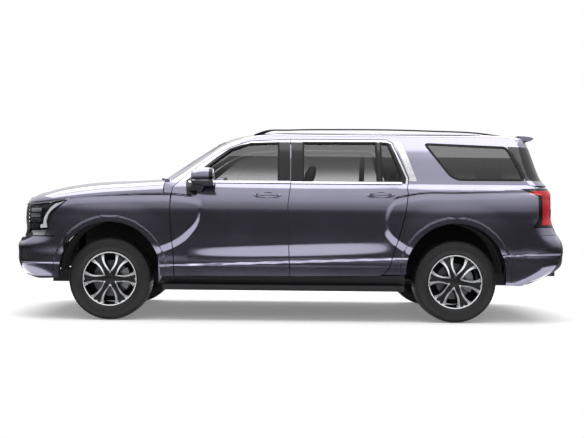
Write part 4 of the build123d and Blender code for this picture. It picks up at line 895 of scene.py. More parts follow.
def panel(
    name: str, surface: Surface, loops: Sequence[Array], finish: Finish, thickness: float = 3.0,
    lift: float = 0.0, step: Point2 = (14.0, 10.0), side: Side | None = None, back: Finish | None = None,
    under: Surface | None = None,
) -> bpy.types.Object:
    """Closed sheet that lies on a surface inside an outline.

    Args:
        name: Object name.
        surface: What it lies on.
        loops: Outer outline, then holes, in the surface's own coordinates.
        finish: Finish of the face and edges.
        thickness: Depth of the sheet in millimetres.
        lift: Height of its outer face over the surface.
        step: Grid spacing.
        side: RIGHT mirrors a left piece; None or LEFT leaves it.
        back: Finish of the inner face, if another.
        under: Surface that the sheet's depth is measured from instead of its own face.
    Returns:
        The new object.
    """
    flat, triangles = triangulate(loops, step)
    u, v = flat.T
    normal = surface.normal(u, v)
    outer = surface.place(u, v) + normal * lift
    inner = under.place(u, v) - under.normal(u, v) * thickness if under else outer - normal * thickness
    if side is Side.RIGHT:
        for rows in (outer, inner, normal):
            rows[:, 1] *= -1
        triangles = triangles[:, ::-1]
    count = len(outer)
    edges: dict[tuple[int, int], int] = {}
    for a, b, c in triangles:
        for edge in ((a, b), (b, c), (c, a)):
            edges[edge] = 1
    rim = np.array([(b, a, a + count, b + count) for a, b in edges if (b, a) not in edges])
    points = np.vstack([outer, inner])
    back_faces = triangles[:, ::-1] + count
    rim_normals = face_normals(points, rim)
    corners = np.vstack([
        normal[triangles.ravel()], -normal[(back_faces - count).ravel()], np.repeat(rim_normals, 4, axis=0),
    ])
    faces = [*triangles.tolist(), *back_faces.tolist(), *rim.tolist()]
    finishes = [finish, back] if back else [finish]
    slots = [0] * len(triangles) + [1 if back else 0] * len(back_faces) + [0] * len(rim)
    return new_piece(name, points, faces, finishes, corners, slots)


@dataclass
class Solid:
    """Collects simple closed shapes in millimetres and turns them into one object."""

    points: list[Array] = field(default_factory=list)
    faces: list[tuple[int, ...]] = field(default_factory=list)
    slots: list[int] = field(default_factory=list)
    smooth: list[bool] = field(default_factory=list)
    count: int = 0

    def add(
        self, points: Array, faces: Iterable[Sequence[int]], slot: int = 0, shade: bool = False,
    ) -> "Solid":
        """Adds a shape's points and faces."""
        self.points.append(np.asarray(points, float))
        for face in faces:
            self.faces.append(tuple(int(i) + self.count for i in face))
            self.slots.append(slot)
            self.smooth.append(shade)
        self.count += len(points)
        return self

    def loft(
        self, rings: Sequence[Array], slot: int = 0, shade: bool = True, closed: bool = False,
    ) -> "Solid":
        """Adds a skin through rings of equal length, with flat ends unless it closes on itself."""
        size, total = len(rings[0]), len(rings)
        faces: list[tuple[int, ...]] = []
        for r in range(total if closed else total - 1):
            below, above = r * size, ((r + 1) % total) * size
            faces += [
                (below + k, below + (k + 1) % size, above + (k + 1) % size, above + k)
                for k in range(size)
            ]
        if not closed:
            faces.append(tuple(range(size))[::-1])
            faces.append(tuple(range((total - 1) * size, total * size)))
        return self.add(np.vstack(rings), faces, slot, shade)

    def box(self, low: Point3, high: Point3, round_off: float = 3.0, slot: int = 0) -> "Solid":
        """Adds a block with chamfered edges between two corners."""
        (x0, y0, z0), (x1, y1, z1) = low, high
        r = min(round_off, (x1 - x0) * 0.45, (y1 - y0) * 0.45, (z1 - z0) * 0.45)
        rings = []
        for z, inset in ((z0, r), (z0 + r, 0.0), (z1 - r, 0.0), (z1, r)):
            a, b, c, d = x0 + inset, x1 - inset, y0 + inset, y1 - inset
            ring = [
                (a + r, c), (b - r, c), (b, c + r), (b, d - r), (b - r, d), (a + r, d), (a, d - r),
                (a, c + r),
            ]
            rings.append(np.array([(x, y, z) for x, y in ring]))
        return self.loft(rings, slot, False)

    def bar(self, start: Point3, end: Point3, radius: float, slot: int = 0, sides: int = 20,
            end_radius: float | None = None) -> "Solid":
        """Adds a round bar between two points."""
        a, b = np.array(start, float), np.array(end, float)
        frame = Vector(b - a).to_track_quat("Z", "Y").to_matrix()
        u, v = np.array(frame.col[0]), np.array(frame.col[1])
        turn = np.linspace(0, 2 * math.pi, sides, endpoint=False)
        ring = np.outer(np.cos(turn), u) + np.outer(np.sin(turn), v)
        return self.loft([a + ring * radius, b + ring * (end_radius or radius)], slot)

    def pipe(self, path: Sequence[Point3], radius: float, slot: int = 0, sides: int = 12) -> "Solid":
        """Adds a round bar along a path, with its ends flat."""
        line = np.array(path, float)
        ahead = np.gradient(line, axis=0)
        ahead /= np.linalg.norm(ahead, axis=1)[:, None]
        up = np.array([0.0, 0.0, 1.0]) if abs(ahead[:, 2]).max() < 0.9 else np.array([0.0, 1.0, 0.0])
        turn = np.linspace(0, 2 * math.pi, sides, endpoint=False)
        rings = []
        for place, way in zip(line, ahead):
            u = np.cross(up, way)
            u /= np.linalg.norm(u)
            v = np.cross(way, u)
            rings.append(place + radius * (np.outer(np.cos(turn), u) + np.outer(np.sin(turn), v)))
        return self.loft(rings, slot)

    def lathe(
        self, profile: Sequence[Point2], centre: Point3, axis: int = 1, sides: int = 72, slot: int = 0,
    ) -> "Solid":
        """Adds a closed ring turned about an axis through a centre.

        Args:
            profile: Closed outline as pairs of a place along the axis and a radius.
            centre: Point on the axis.
            axis: Number of the axis, 0 to 2.
            sides: Steps round the turn.
            slot: Finish number.
        """
        rings = []
        outline = np.array(profile, float)
        for k in range(sides):
            turn = 2 * math.pi * k / sides
            ring = np.zeros((len(outline), 3))
            ring[:, axis] = outline[:, 0]
            ring[:, (axis + 1) % 3] = outline[:, 1] * math.cos(turn)
            ring[:, (axis + 2) % 3] = outline[:, 1] * math.sin(turn)
            rings.append(ring + np.array(centre))
        return self.loft(rings, slot, True, closed=True)

    def prism(self, outline: Sequence[Point2], plane: str, start: float, end: float, slot: int = 0,
              round_off: float = 0.0) -> "Solid":
        """Adds a straight run of an outline.

        Args:
            outline: Corners in the plane's two coordinates.
            plane: "xz", "yz" or "xy".
            start: First place along the third axis.
            end: Last place along it.
            slot: Finish number.
            round_off: Chamfer at both ends.
        """
        order = {"xz": (0, 2, 1), "yz": (1, 2, 0), "xy": (0, 1, 2)}[plane]
        corners = np.array(outline, float)
        steps = [
            (start, -round_off), (start + round_off, 0), (end - round_off, 0), (end, -round_off),
        ] if round_off else [(start, 0), (end, 0)]
        rings = []
        for place, inset in steps:
            ring = np.zeros((len(corners), 3))
            ring[:, list(order[:2])] = offset_loop(corners, inset) if inset else corners
            ring[:, order[2]] = place
            rings.append(ring)
        return self.loft(rings, slot, False)

    def mirrored(self) -> "Solid":
        """Returns the shape with its mirror image on the other side of the middle added."""
        both = Solid()
        both.join(self)
        return both.join(self.flipped())

    def flipped(self) -> "Solid":
        """Returns the mirror image alone."""
        other = Solid()
        points = np.vstack(self.points) * np.array([1, -1, 1])
        other.points, other.count = [points], len(points)
        other.faces = [tuple(reversed(f)) for f in self.faces]
        other.slots, other.smooth = list(self.slots), list(self.smooth)
        return other

    def on(self, side: Side) -> "Solid":
        """Returns these shapes on the left side, or their mirror image on the right."""
        return self if side is Side.LEFT else self.flipped()

    def join(self, other: "Solid") -> "Solid":
        """Adds another collection's shapes."""
        self.points.extend(other.points)
        self.faces.extend(tuple(i + self.count for i in f) for f in other.faces)
        self.slots.extend(other.slots)
        self.smooth.extend(other.smooth)
        self.count += other.count
        return self

    def build(
        self, name: str, *finishes: Finish, turned_out: bool = True, bevel: float = 0.0,
    ) -> bpy.types.Object:
        """Returns the collected shapes as one object.

        Args:
            name: Object name.
            finishes: Finishes, in slot order.
            turned_out: Works the faces' directions out again.
            bevel: Width of a small rounding on sharp edges, in millimetres.
        """
        thing = new_piece(name, np.vstack(self.points), self.faces, list(finishes), None, self.slots)
        mesh = bmesh.new()
        mesh.from_mesh(thing.data)
        if turned_out:
            bmesh.ops.recalc_face_normals(mesh, faces=mesh.faces)
        if bevel:
            sharp = [e for e in mesh.edges if len(e.link_faces) == 2 and e.calc_face_angle() > 0.6]
            bmesh.ops.bevel(
                mesh, geom=sharp, offset=bevel * MM, segments=2, profile=0.5, affect="EDGES",
                clamp_overlap=True,
            )
        mesh.to_mesh(thing.data)
        mesh.free()
        thing.data.polygons.foreach_set("use_smooth", np.ones(len(thing.data.polygons), bool))
        thing.data.set_sharp_from_angle(angle=math.radians(32))
        return thing


def settle(thing: bpy.types.Object, body: str, slot: str, *nodes: str) -> bpy.types.Object:
    """Puts a finished piece on its body and hides the CAD nodes that it replaces.

    Args:
        thing: The finished object.
        body: CAD body that it rides on.
        slot: Not used.
        nodes: CAD nodes that it replaces.
    Returns:
        The same object.
    """
    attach(thing, body)
    if nodes:
        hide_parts(*nodes)
    log.info("%s: %d faces on %s", thing.name, len(thing.data.polygons), body)
    return thing


LOW_BARE = Shell(SIDE_LOW, NOSE_LOW, TAIL_LOW, LOW.nose_cap, LOW.tail_cap)
FRAME: dict = {}


def clad(body: str, slot: str, *given: object, **chosen: object) -> None:
    """Makes a panel and puts it on its body.

    Args:
        body: CAD body that it rides on.
        slot: Not used.
        given: What panel takes in order.
        chosen: What panel takes by name.
    """
    settle(panel(*given, **chosen), body, slot)


def level(shell: Shell, points: Array) -> Array:
    """Reading that is 0 on a body envelope and above 0 outside it."""
    x, y, z = points.T
    front, rear = shell.ends(z)
    width = np.maximum(curve(shell.side, z), 30.0)
    nose = np.maximum(front - x, 0) / shell.nose_cap[0]
    tail = np.maximum(x - rear, 0) / shell.tail_cap[0]
    return np.maximum(
        (np.abs(y) / width) ** shell.nose_cap[2] + nose ** shell.nose_cap[1],
        (np.abs(y) / width) ** shell.tail_cap[2] + tail ** shell.tail_cap[1],
    ) - 1


def gap_to(shell: Shell, points: Array) -> tuple[Array, Array]:
    """Distance outside a body envelope, and the outward direction there."""
    slopes = np.stack([(level(shell, points + d) - level(shell, points - d)) / 2 for d in np.eye(3)], 1)
    size = np.linalg.norm(slopes, axis=1) + 1e-9
    return level(shell, points) / size, slopes / size[:, None]


def carcass(node: str, outer: Finish, inner: Finish, sink: float = 4.6, low_trim: float = 0.0,
            foot: float = 0.0) -> bpy.types.Object:
    """Copy of a CAD node that lies a little under the skins over it.

    Args:
        node: CAD node.
        outer: Finish of its outer faces and edges.
        inner: Finish of the faces towards the cabin.
        sink: How far its outer skin is let in.
        low_trim: Height below which outer faces are black trim.
        foot: Height that no part of the copy goes below.
    Returns:
        The new object.
    """
    mesh = FRAME["nodes"][node].data.copy()
    mesh.name = f"{node}_carcass"
    work = bmesh.new()
    work.from_mesh(mesh)
    bmesh.ops.remove_doubles(work, verts=work.verts, dist=1e-5)
    work.to_mesh(mesh)
    work.free()
    points = np.zeros(len(mesh.vertices) * 3)
    mesh.vertices.foreach_get("co", points)
    points = points.reshape(-1, 3) / MM
    for shell, in_range in ((LOW_BARE, points[:, 2] < BELT_Z + 0.5), (HIGH, points[:, 2] > BELT_Z - 0.5)):
        gap, way = gap_to(shell, points)
        outside = in_range & (np.abs(gap) < 4.4)
        points[outside] -= (way * (sink + gap)[:, None])[outside]
    points[:, 2] = np.maximum(points[:, 2], foot)
    mesh.vertices.foreach_set("co", (points * MM).ravel())
    mesh.update()
    count = len(mesh.polygons)
    centre, normal = np.zeros(count * 3), np.zeros(count * 3)
    mesh.polygons.foreach_get("center", centre)
    mesh.polygons.foreach_get("normal", normal)
    centre, normal = centre.reshape(-1, 3) / MM, normal.reshape(-1, 3)
    high = centre[:, 2] > BELT_Z
    gap_low, way_low = gap_to(LOW_BARE, centre)
    gap_high, way_high = gap_to(HIGH, centre)
    gap, way = np.where(high, gap_high, gap_low), np.where(high[:, None], way_high, way_low)
    facing = np.sum(way * normal, axis=1)
    slots = np.where((facing < -0.35) & (gap < -30), 1, 0)
    slots[(centre[:, 2] < low_trim) & (slots == 0)] = 2
    mesh.materials.clear()
    for finish in (outer, inner, TRIM):
        mesh.materials.append(finish.build())
    mesh.polygons.foreach_set("material_index", slots.astype(np.int32))
    mesh.polygons.foreach_set("use_smooth", np.ones(count, bool))
    mesh.set_sharp_from_angle(angle=math.radians(25))
    thing = bpy.data.objects.new(mesh.name, mesh)
    bpy.context.scene.collection.objects.link(thing)
    return thing


def on_side(shell: Shell, points: Iterable[Point2], step: float = 18.0) -> Array:
    """Side-view outline laid on a shell, with points between its corners."""
    return shell.from_side(resample(np.array(list(points), float), step))


def on_end(shell: Shell, points: Iterable[Point2], end: int, step: float = 18.0) -> Array:
    """End-view half outline laid on a shell and closed across the middle, with points between its corners."""
    half = shell.from_end(resample(np.array(list(points), float), step, closed=False), end)
    return np.vstack([half, shell.across(half, end)])


def arch_loop(arch: Point3, grow: float = 0.0) -> Array:
    """Wheel opening in side view, open below."""
    x, z, radius = arch[0], arch[1], arch[2] + grow
    turn = np.radians(np.arange(0, 181, 4))
    top = np.stack([x + radius * np.cos(turn), z + radius * np.sin(turn)], 1)
    return np.vstack([[x + radius, 300], top, [x - radius, 300]])


def repeat(unit: bpy.types.Object, name: str, count: int, step: Point3, turn: float, finish: Finish,
           start: Point3 = (0.0, 0.0, 0.0)) -> bpy.types.Object:
    """Copies a small shape along a line or round the Y axis with Geometry Nodes, as one plain mesh.

    Args:
        unit: The shape, which is removed afterwards.
        name: Name of the result.
        count: How many copies.
        step: Move from one copy to the next, in metres.
        turn: Turn about Y from one to the next, in radians.
        finish: Finish of the copies.
        start: Place of the first copy, in metres.
    Returns:
        The new object.
    """
    tree = bpy.data.node_groups.new(f"{name}_copies", "GeometryNodeTree")
    face = tree.interface
    face.new_socket("Geometry", in_out="INPUT", socket_type="NodeSocketGeometry")
    number = face.new_socket("Count", in_out="INPUT", socket_type="NodeSocketInt")
    move = face.new_socket("Step", in_out="INPUT", socket_type="NodeSocketVector")
    angle = face.new_socket("Turn", in_out="INPUT", socket_type="NodeSocketFloat")
    first = face.new_socket("Start", in_out="INPUT", socket_type="NodeSocketVector")
    face.new_socket("Geometry", in_out="OUTPUT", socket_type="NodeSocketGeometry")
    given = add_node(tree, "NodeGroupInput")
    line = add_node(
        tree,
        "GeometryNodeMeshLine",
        {
            "Count": given.outputs["Count"], "Offset": given.outputs["Step"],
            "Start Location": given.outputs["Start"],
        },
        mode="OFFSET",
    )
    index = add_node(tree, "GeometryNodeInputIndex")
    turned = add_node(
        tree, "ShaderNodeMath", {0: index.outputs[0], 1: given.outputs["Turn"]}, operation="MULTIPLY",
    )
    spin = add_node(tree, "ShaderNodeCombineXYZ", {"Y": turned.outputs[0]})
    copies = add_node(
        tree, "GeometryNodeInstanceOnPoints",
        {"Points": line.outputs[0], "Instance": given.outputs["Geometry"], "Rotation": spin.outputs[0]},
    )
    real = add_node(tree, "GeometryNodeRealizeInstances", {0: copies.outputs[0]})
    dressed = add_node(tree, "GeometryNodeSetMaterial", {"Geometry": real.outputs[0]})
    dressed.inputs["Material"].default_value = finish.build()
    add_node(tree, "NodeGroupOutput", {0: dressed.outputs[0]})
    modifier = unit.modifiers.new("copies", "NODES")
    modifier.node_group = tree
    for socket, value in ((number, count), (move, step), (angle, turn), (first, start)):
        modifier[socket.identifier] = value
    bpy.context.view_layer.update()
    graph = bpy.context.evaluated_depsgraph_get()
    mesh = bpy.data.meshes.new_from_object(unit.evaluated_get(graph))
    mesh.name = name
    bpy.data.objects.remove(unit)
    thing = bpy.data.objects.new(name, mesh)
    bpy.context.scene.collection.objects.link(thing)
    return thing


def joined(name: str, things: Sequence[bpy.types.Object]) -> bpy.types.Object:
    """Joins plain mesh objects into one."""
    first = things[0]
    with bpy.context.temp_override(active_object=first, selected_editable_objects=list(things)):
        bpy.ops.object.join()
    first.name = name
    return first


# ---------------------------------------------------------------- painted body
FRONT_DOOR = (
    (-1128, 436), (-1140, 653), (-1169, 925), (-1173, 1129), (-1153, 1293), (-1091, 1361), (-982, 1457),
    (-886, 1531), (-741, 1629), (-597, 1708), (-403, 1768), (-4, 1790), (-4, 1331), (-31, 1140), (-18, 732),
    (-4, 446),
)
REAR_DOOR = (
    (-4, 446), (-18, 732), (-31, 1140), (-4, 1331), (-4, 1790), (945, 1794), (1000, 1765), (1081, 1579),
    (1150, 1400), (1132, 1300), (1138, 1246), (1109, 1042), (1055, 838), (996, 647), (963, 538), (910, 477),
    (869, 456),
)
FRONT_WINDOW = ((-1000, 1352), (-596, 1682), (-403, 1740), (-126, 1751), (-126, 1352))
REAR_WINDOW = ((121, 1354), (121, 1756), (841, 1762), (841, 1362))
QUARTER_LIGHT = ((889, 1364), (889, 1762), (960, 1750), (1020, 1590), (1085, 1420), (1070, 1376))
FRONT_SURROUND = (
    (-1042, 1350), (-732, 1606), (-606, 1694), (-493, 1731), (-352, 1750), (-84, 1760), (-8, 1760),
    (-8, 1350),
)
REAR_SURROUND = ((0, 1350), (0, 1760), (950, 1768), (990, 1752), (1126, 1402), (1116, 1350))
SIDE_GLASS = ((1325, 1755), (2135, 1725), (2281, 1396), (1640, 1394), (1560, 1430))
HEADLAMP = (
    (-2800, 1116), (-2506, 1122), (-2154, 1176), (-2310, 1034), (-2354, 884), (-2529, 870), (-2800, 866),
)
GRILLE_HALF = 760.0
TAIL_LAMP = (
    (2226, 1307), (2489, 1318), (2800, 1318), (2800, 930), (2512, 930), (2344, 932), (2400, 1030),
    (2396, 1240),
)
TAIL_LAMP_INNER_Y = 800.0
TAILGATE_HALF = ((0, 868), (784, 868), (792, 1290), (762, 1345), (688, 1740), (640, 1790), (626, 1835))
TAIL_WINDOW = ((0, 1372), (690, 1372), (640, 1640), (606, 1736), (0, 1748))
SCREEN_HOLE = ((0, 1366), (700, 1366), (690, 1500), (640, 1640), (575, 1770), (400, 1785), (0, 1792))
ROOF_HALF_WIDTH = 640.0
TAILGATE_FRONT_X = 2212.0


@dataclass
class Skins:
    """Painted panels over the body's carcass."""

    half_gap: float = SHUT_GAP / 2
    bumper_split_z: float = 434.0

    def wings(self) -> None:
        """Front wings with their flares and shoulder grooves."""
        outline = np.array(
            [
                (-2100, 1183), (-1850, 1206), (-1550, 1226), (-1243, 1237), (-1169, 1240), (-1173, 1129),
                (-1169, 925), (-1140, 653), (-1128, 436), (-2150, 436), (-2150, 814), (-2262, 814),
                (-2390, 814), (-2354, 884), (-2310, 1034), (-2150, 1178),
            ],
            float,
        )
        loop = offset_loop(outline, -self.half_gap)
        hood = np.array([(x, curve(HOOD_LINE, x)) for x in np.linspace(-2135, -1250, 12)])
        loop = np.vstack([hood, loop[4:]])
        for side in Side:
            clad(
                "chassis", "paint", f"{side.word}_wing_skin", LOW,
                [on_side(LOW, loop), arch_loop(FRONT_ARCH)], PAINT, SKIN, side=side, step=BODY_GRID,
                under=LOW_BARE,
            )
        settle(carcass("front_wings", PAINT, LINER, foot=434), "chassis", "paint", "front_wings")

    def quarters(self) -> None:
        """Rear quarters below the belt, and the pillars and rails above it."""
        outline = [
            (869, 470), (910, 477), (963, 538), (996, 647), (1055, 838), (1109, 1042), (1138, 1246),
            (1132, 1300), (1140, 1345), (3000, 1345), (3000, 860), (2424, 860), (2334, 700), (2083, 644),
            (2083, 470),
        ]
        tail_hole = [on_end(LOW, offset_loop(np.array(TAILGATE_HALF), 8)[:5], 1)]
        door = offset_loop(np.array(REAR_DOOR, float), self.half_gap)
        front_door = offset_loop(np.array(FRONT_DOOR, float), self.half_gap)
        low_cuts = [
            arch_loop(REAR_ARCH), on_side(LOW, cut_off(door, BELT_Z, False)), on_side(LOW, TAIL_LAMP),
            *tail_hole,
        ]
        z_low = np.linspace(BELT_Z, 1866, 60)
        inner = np.minimum(ROOF_HALF_WIDTH / curve(SIDE_HIGH, z_low), 0.99999)
        turn = np.arccos(inner) / (math.pi / 2) * HIGH.TURN
        front, rear = HIGH.ends(z_low)
        tail_middle = np.stack([rear + HIGH.TURN, z_low], 1)
        above = z_low > 1600
        rail_tail = np.stack([rear + turn, z_low], 1)[above]
        rail_nose = np.stack([front - turn, z_low], 1)
        belt = on_side(HIGH, [(-1235, BELT_Z), (2600, BELT_Z)])[: int((2600 + 1235) / 18)]
        high_loop = np.vstack([belt, tail_middle[~above], rail_tail, rail_nose[::-1]])
        screen = on_end(HIGH, SCREEN_HOLE, -1)
        gate = on_end(HIGH, offset_loop(np.vstack([np.array(TAILGATE_HALF, float), [0, 1900]]), 8)[3:8], 1)
        high_cuts = [
            on_side(HIGH, cut_off(door, BELT_Z, True)), on_side(HIGH, cut_off(front_door, BELT_Z, True)),
            on_side(HIGH, SIDE_GLASS), screen, gate,
        ]
        for side in Side:
            node = f"{side.word}_body_side"
            clad(
                "chassis", "paint", f"{side.word}_quarter_skin", LOW, [on_side(LOW, outline), *low_cuts],
                PAINT, SKIN, side=side, step=BODY_GRID, under=LOW_BARE,
            )
            clad(
                "chassis", "paint", f"{side.word}_upper_skin", HIGH, [high_loop, *high_cuts], PAINT, SKIN,
                side=side, step=UPPER_GRID,
            )
            settle(carcass(node, PAINT, LINING, low_trim=460), "chassis", "paint", node)

    def roof(self) -> None:
        """Roof skin with its pressed ribs."""
        edge = resample(np.array([(640.0, 1650.0), (575, 1770), (400, 1785), (0, 1792)]), 12, closed=False)
        share = edge[:, 0] / curve(SIDE_HIGH, edge[:, 1])
        along = (1 - share ** HIGH.nose_cap[2]) ** (1 / HIGH.nose_cap[1])
        x = -(curve(NOSE_HIGH, edge[:, 1]) - HIGH.nose_cap[0] * (1 - along))
        right = np.stack([x, np.minimum(edge[:, 0], 639.5)], 1)
        left = right[::-1] * np.array([1, -1])
        loop = np.vstack([right, left[1:], [[2204, -639.5], [2204, 639.5]]])[::-1]
        clad("chassis", "paint", "roof_skin", ROOF, [loop], PAINT, 1.6, step=ROOF_GRID)
        settle(carcass("roof_panel", PAINT, LINING), "chassis", "paint", "roof_panel")

    def bonnet(self) -> None:
        """Bonnet skin with its two long creases."""
        rim = [(-2600, 0.0), (-2600, 400.0)]
        edge = [(x, HOOD.half(x) * 0.99992) for x in (
            -2600, -2560, -2500, -2440, -2300, -2100, -1850, -1550, -1243,
        )]
        rear = [(-1243, 900), (-1270, 800), (-1400, 600), (-1440, 300), (-1478, 0)]
        half = HOOD.from_plan([*rim, *edge, *rear])
        loop = np.vstack([half, (half * np.array([1, -1]))[::-1]])
        clad("bonnet", "paint", "bonnet_skin", HOOD, [loop], PAINT, 5.0, step=HOOD_GRID)
        thing = FRAME["nodes"]["bonnet"]
        mesh = thing.data.copy()
        work = bmesh.new()
        work.from_mesh(mesh)
        bmesh.ops.remove_doubles(work, verts=work.verts, dist=1e-5)
        for v in work.verts:
            if v.normal.z > 0.25 or abs(v.normal.y) > 0.5:
                v.co.z -= 5.5 * MM
        work.to_mesh(mesh)
        work.free()
        mesh.materials.clear()
        mesh.materials.append(PAINT.build())
        under = bpy.data.objects.new("bonnet_frame", mesh)
        bpy.context.scene.collection.objects.link(under)
        settle(under, "bonnet", "paint", "bonnet")

    def front_bumper(self) -> None:
        """Front bumper with its dark chin, vents and lower inlet."""
        outline = [(-3000, 790), (-2640, 790), (-2580, 806), (-2200, 806), (-2200, 412), (-3000, 412)]
        loop = offset_loop(np.array(outline, float), -self.half_gap)
        inlet = on_end(LOW, [(0, 512), (430, 512), (455, 592), (0, 592)], -1)
        vent = on_side(LOW, VENT)
        for name, above, finish in (("front_bumper_skin", True, PAINT), ("front_chin", False, TRIM)):
            part = cut_off(loop, self.bumper_split_z, above)
            half = on_side(LOW, part)
            for side in Side:
                cuts = [arch_loop(FRONT_ARCH), inlet, vent]
                clad(
                    "chassis", "paint" if above else "trim_black", f"{side.word}_{name}", LOW, [half, *cuts],
                    finish, SKIN, side=side, step=BUMPER_GRID, under=LOW_BARE,
                )
        settle(carcass("front_bumper", TRIM, LINER, low_trim=470), "chassis", "paint", "front_bumper")

    def rear_bumper(self) -> None:
        """Rear bumper with its black lower half."""
        outline = [(2079, 640), (2330, 700), (2420, 860), (3000, 860), (3000, 380), (2079, 380)]
        loop = offset_loop(np.array(outline, float), -self.half_gap)
        split = [(3000, 661), (2649, 661), (2509, 442), (2400, 405), (2079, 372), (2079, 300), (3000, 300)]
        for name, finish in (("rear_bumper_skin", PAINT), ("rear_valance", TRIM)):
            for side in Side:
                cuts = [arch_loop(REAR_ARCH)]
                if finish is PAINT:
                    area, cuts = on_side(LOW, loop), [*cuts, on_side(LOW, split)]
                else:
                    area = on_side(
                        LOW,
                        [
                            (2991, 657), (2651, 657), (2511, 438), (2400, 401), (2300, 392), (2300, 384),
                            (2991, 384),
                        ],
                    )
                clad(
                    "chassis", "paint" if finish is PAINT else "trim_black", f"{side.word}_{name}", LOW,
                    [area, *cuts], finish, SKIN, side=side, step=BUMPER_GRID, under=LOW_BARE,
                )
        settle(carcass("rear_bumper", TRIM, LINER, low_trim=640), "chassis", "paint", "rear_bumper")

    def tailgate(self) -> None:
        """Tailgate skins below and above the belt."""
        low_half = on_end(LOW, [(0, 868), (784, 868), (792, 1290), (762, BELT_Z), (0, BELT_Z)], 1)
        plate_well = on_end(LOW, [(0, 960), (275, 960), (290, 1085), (0, 1085)], 1)
        clad(
            "tailgate", "paint", "tailgate_skin", LOW, [low_half, plate_well], PAINT, SKIN, step=BODY_GRID,
            under=LOW_BARE,
        )
        clad("tailgate", "trim_black", "plate_well", LOW_BARE, [plate_well], TRIM, 6.0, -5.5)
        y = np.linspace(0, 620, 14)
        top = ROOF.place(np.full(len(y), TAILGATE_FRONT_X), y)[:, 2] + 1
        rim = [*zip(y, top), (640, 1790), (688, 1740), (762, BELT_Z), (0, BELT_Z)]
        half_loop = HIGH.from_end(resample(np.array(rim), 16, closed=False), 1)
        loop = np.vstack([half_loop, HIGH.across(half_loop, 1)])
        window = on_end(HIGH, TAIL_WINDOW, 1)
        clad(
            "tailgate", "paint", "tailgate_frame_skin", HIGH, [loop, window], PAINT, SKIN,
            step=GATE_FRAME_GRID,
        )
        settle(carcass("tailgate", PAINT, CABIN), "tailgate", "paint", "tailgate")

    def flare_lines(self) -> None:
        """Dark joint along each wheel arch flare."""
        for side in Side:
            for name, arch in (("front", FRONT_ARCH), ("rear", REAR_ARCH)):
                ring = arch_loop(arch, FLARE_WIDTH + 3)
                foot = on_side(
                    LOW, [(arch[0] - 700, 460), (arch[0] + 700, 460), (arch[0] + 700, 0), (arch[0] - 700, 0)],
                )
                loops = [ring, arch_loop(arch, FLARE_WIDTH - 2.5), foot]
                clad(
                    "chassis", "trim_black", f"{side.word}_{name}_flare_line", LOW, loops, SEAL, 1.5, 0.4,
                    side=side, step=(9, 9),
                )

    def build(self) -> None:
        """Makes every painted panel but the doors."""
        for make in (
            self.wings, self.quarters, self.roof, self.bonnet, self.front_bumper, self.rear_bumper,
            self.tailgate, self.flare_lines,
        ):
            make()


HOOD_LINE = tuple(zip(HOOD_X, HOOD_SIDE_Z))
VENT = ((-2650, 572), (-2655, 699), (-2528, 699), (-2520, 572))


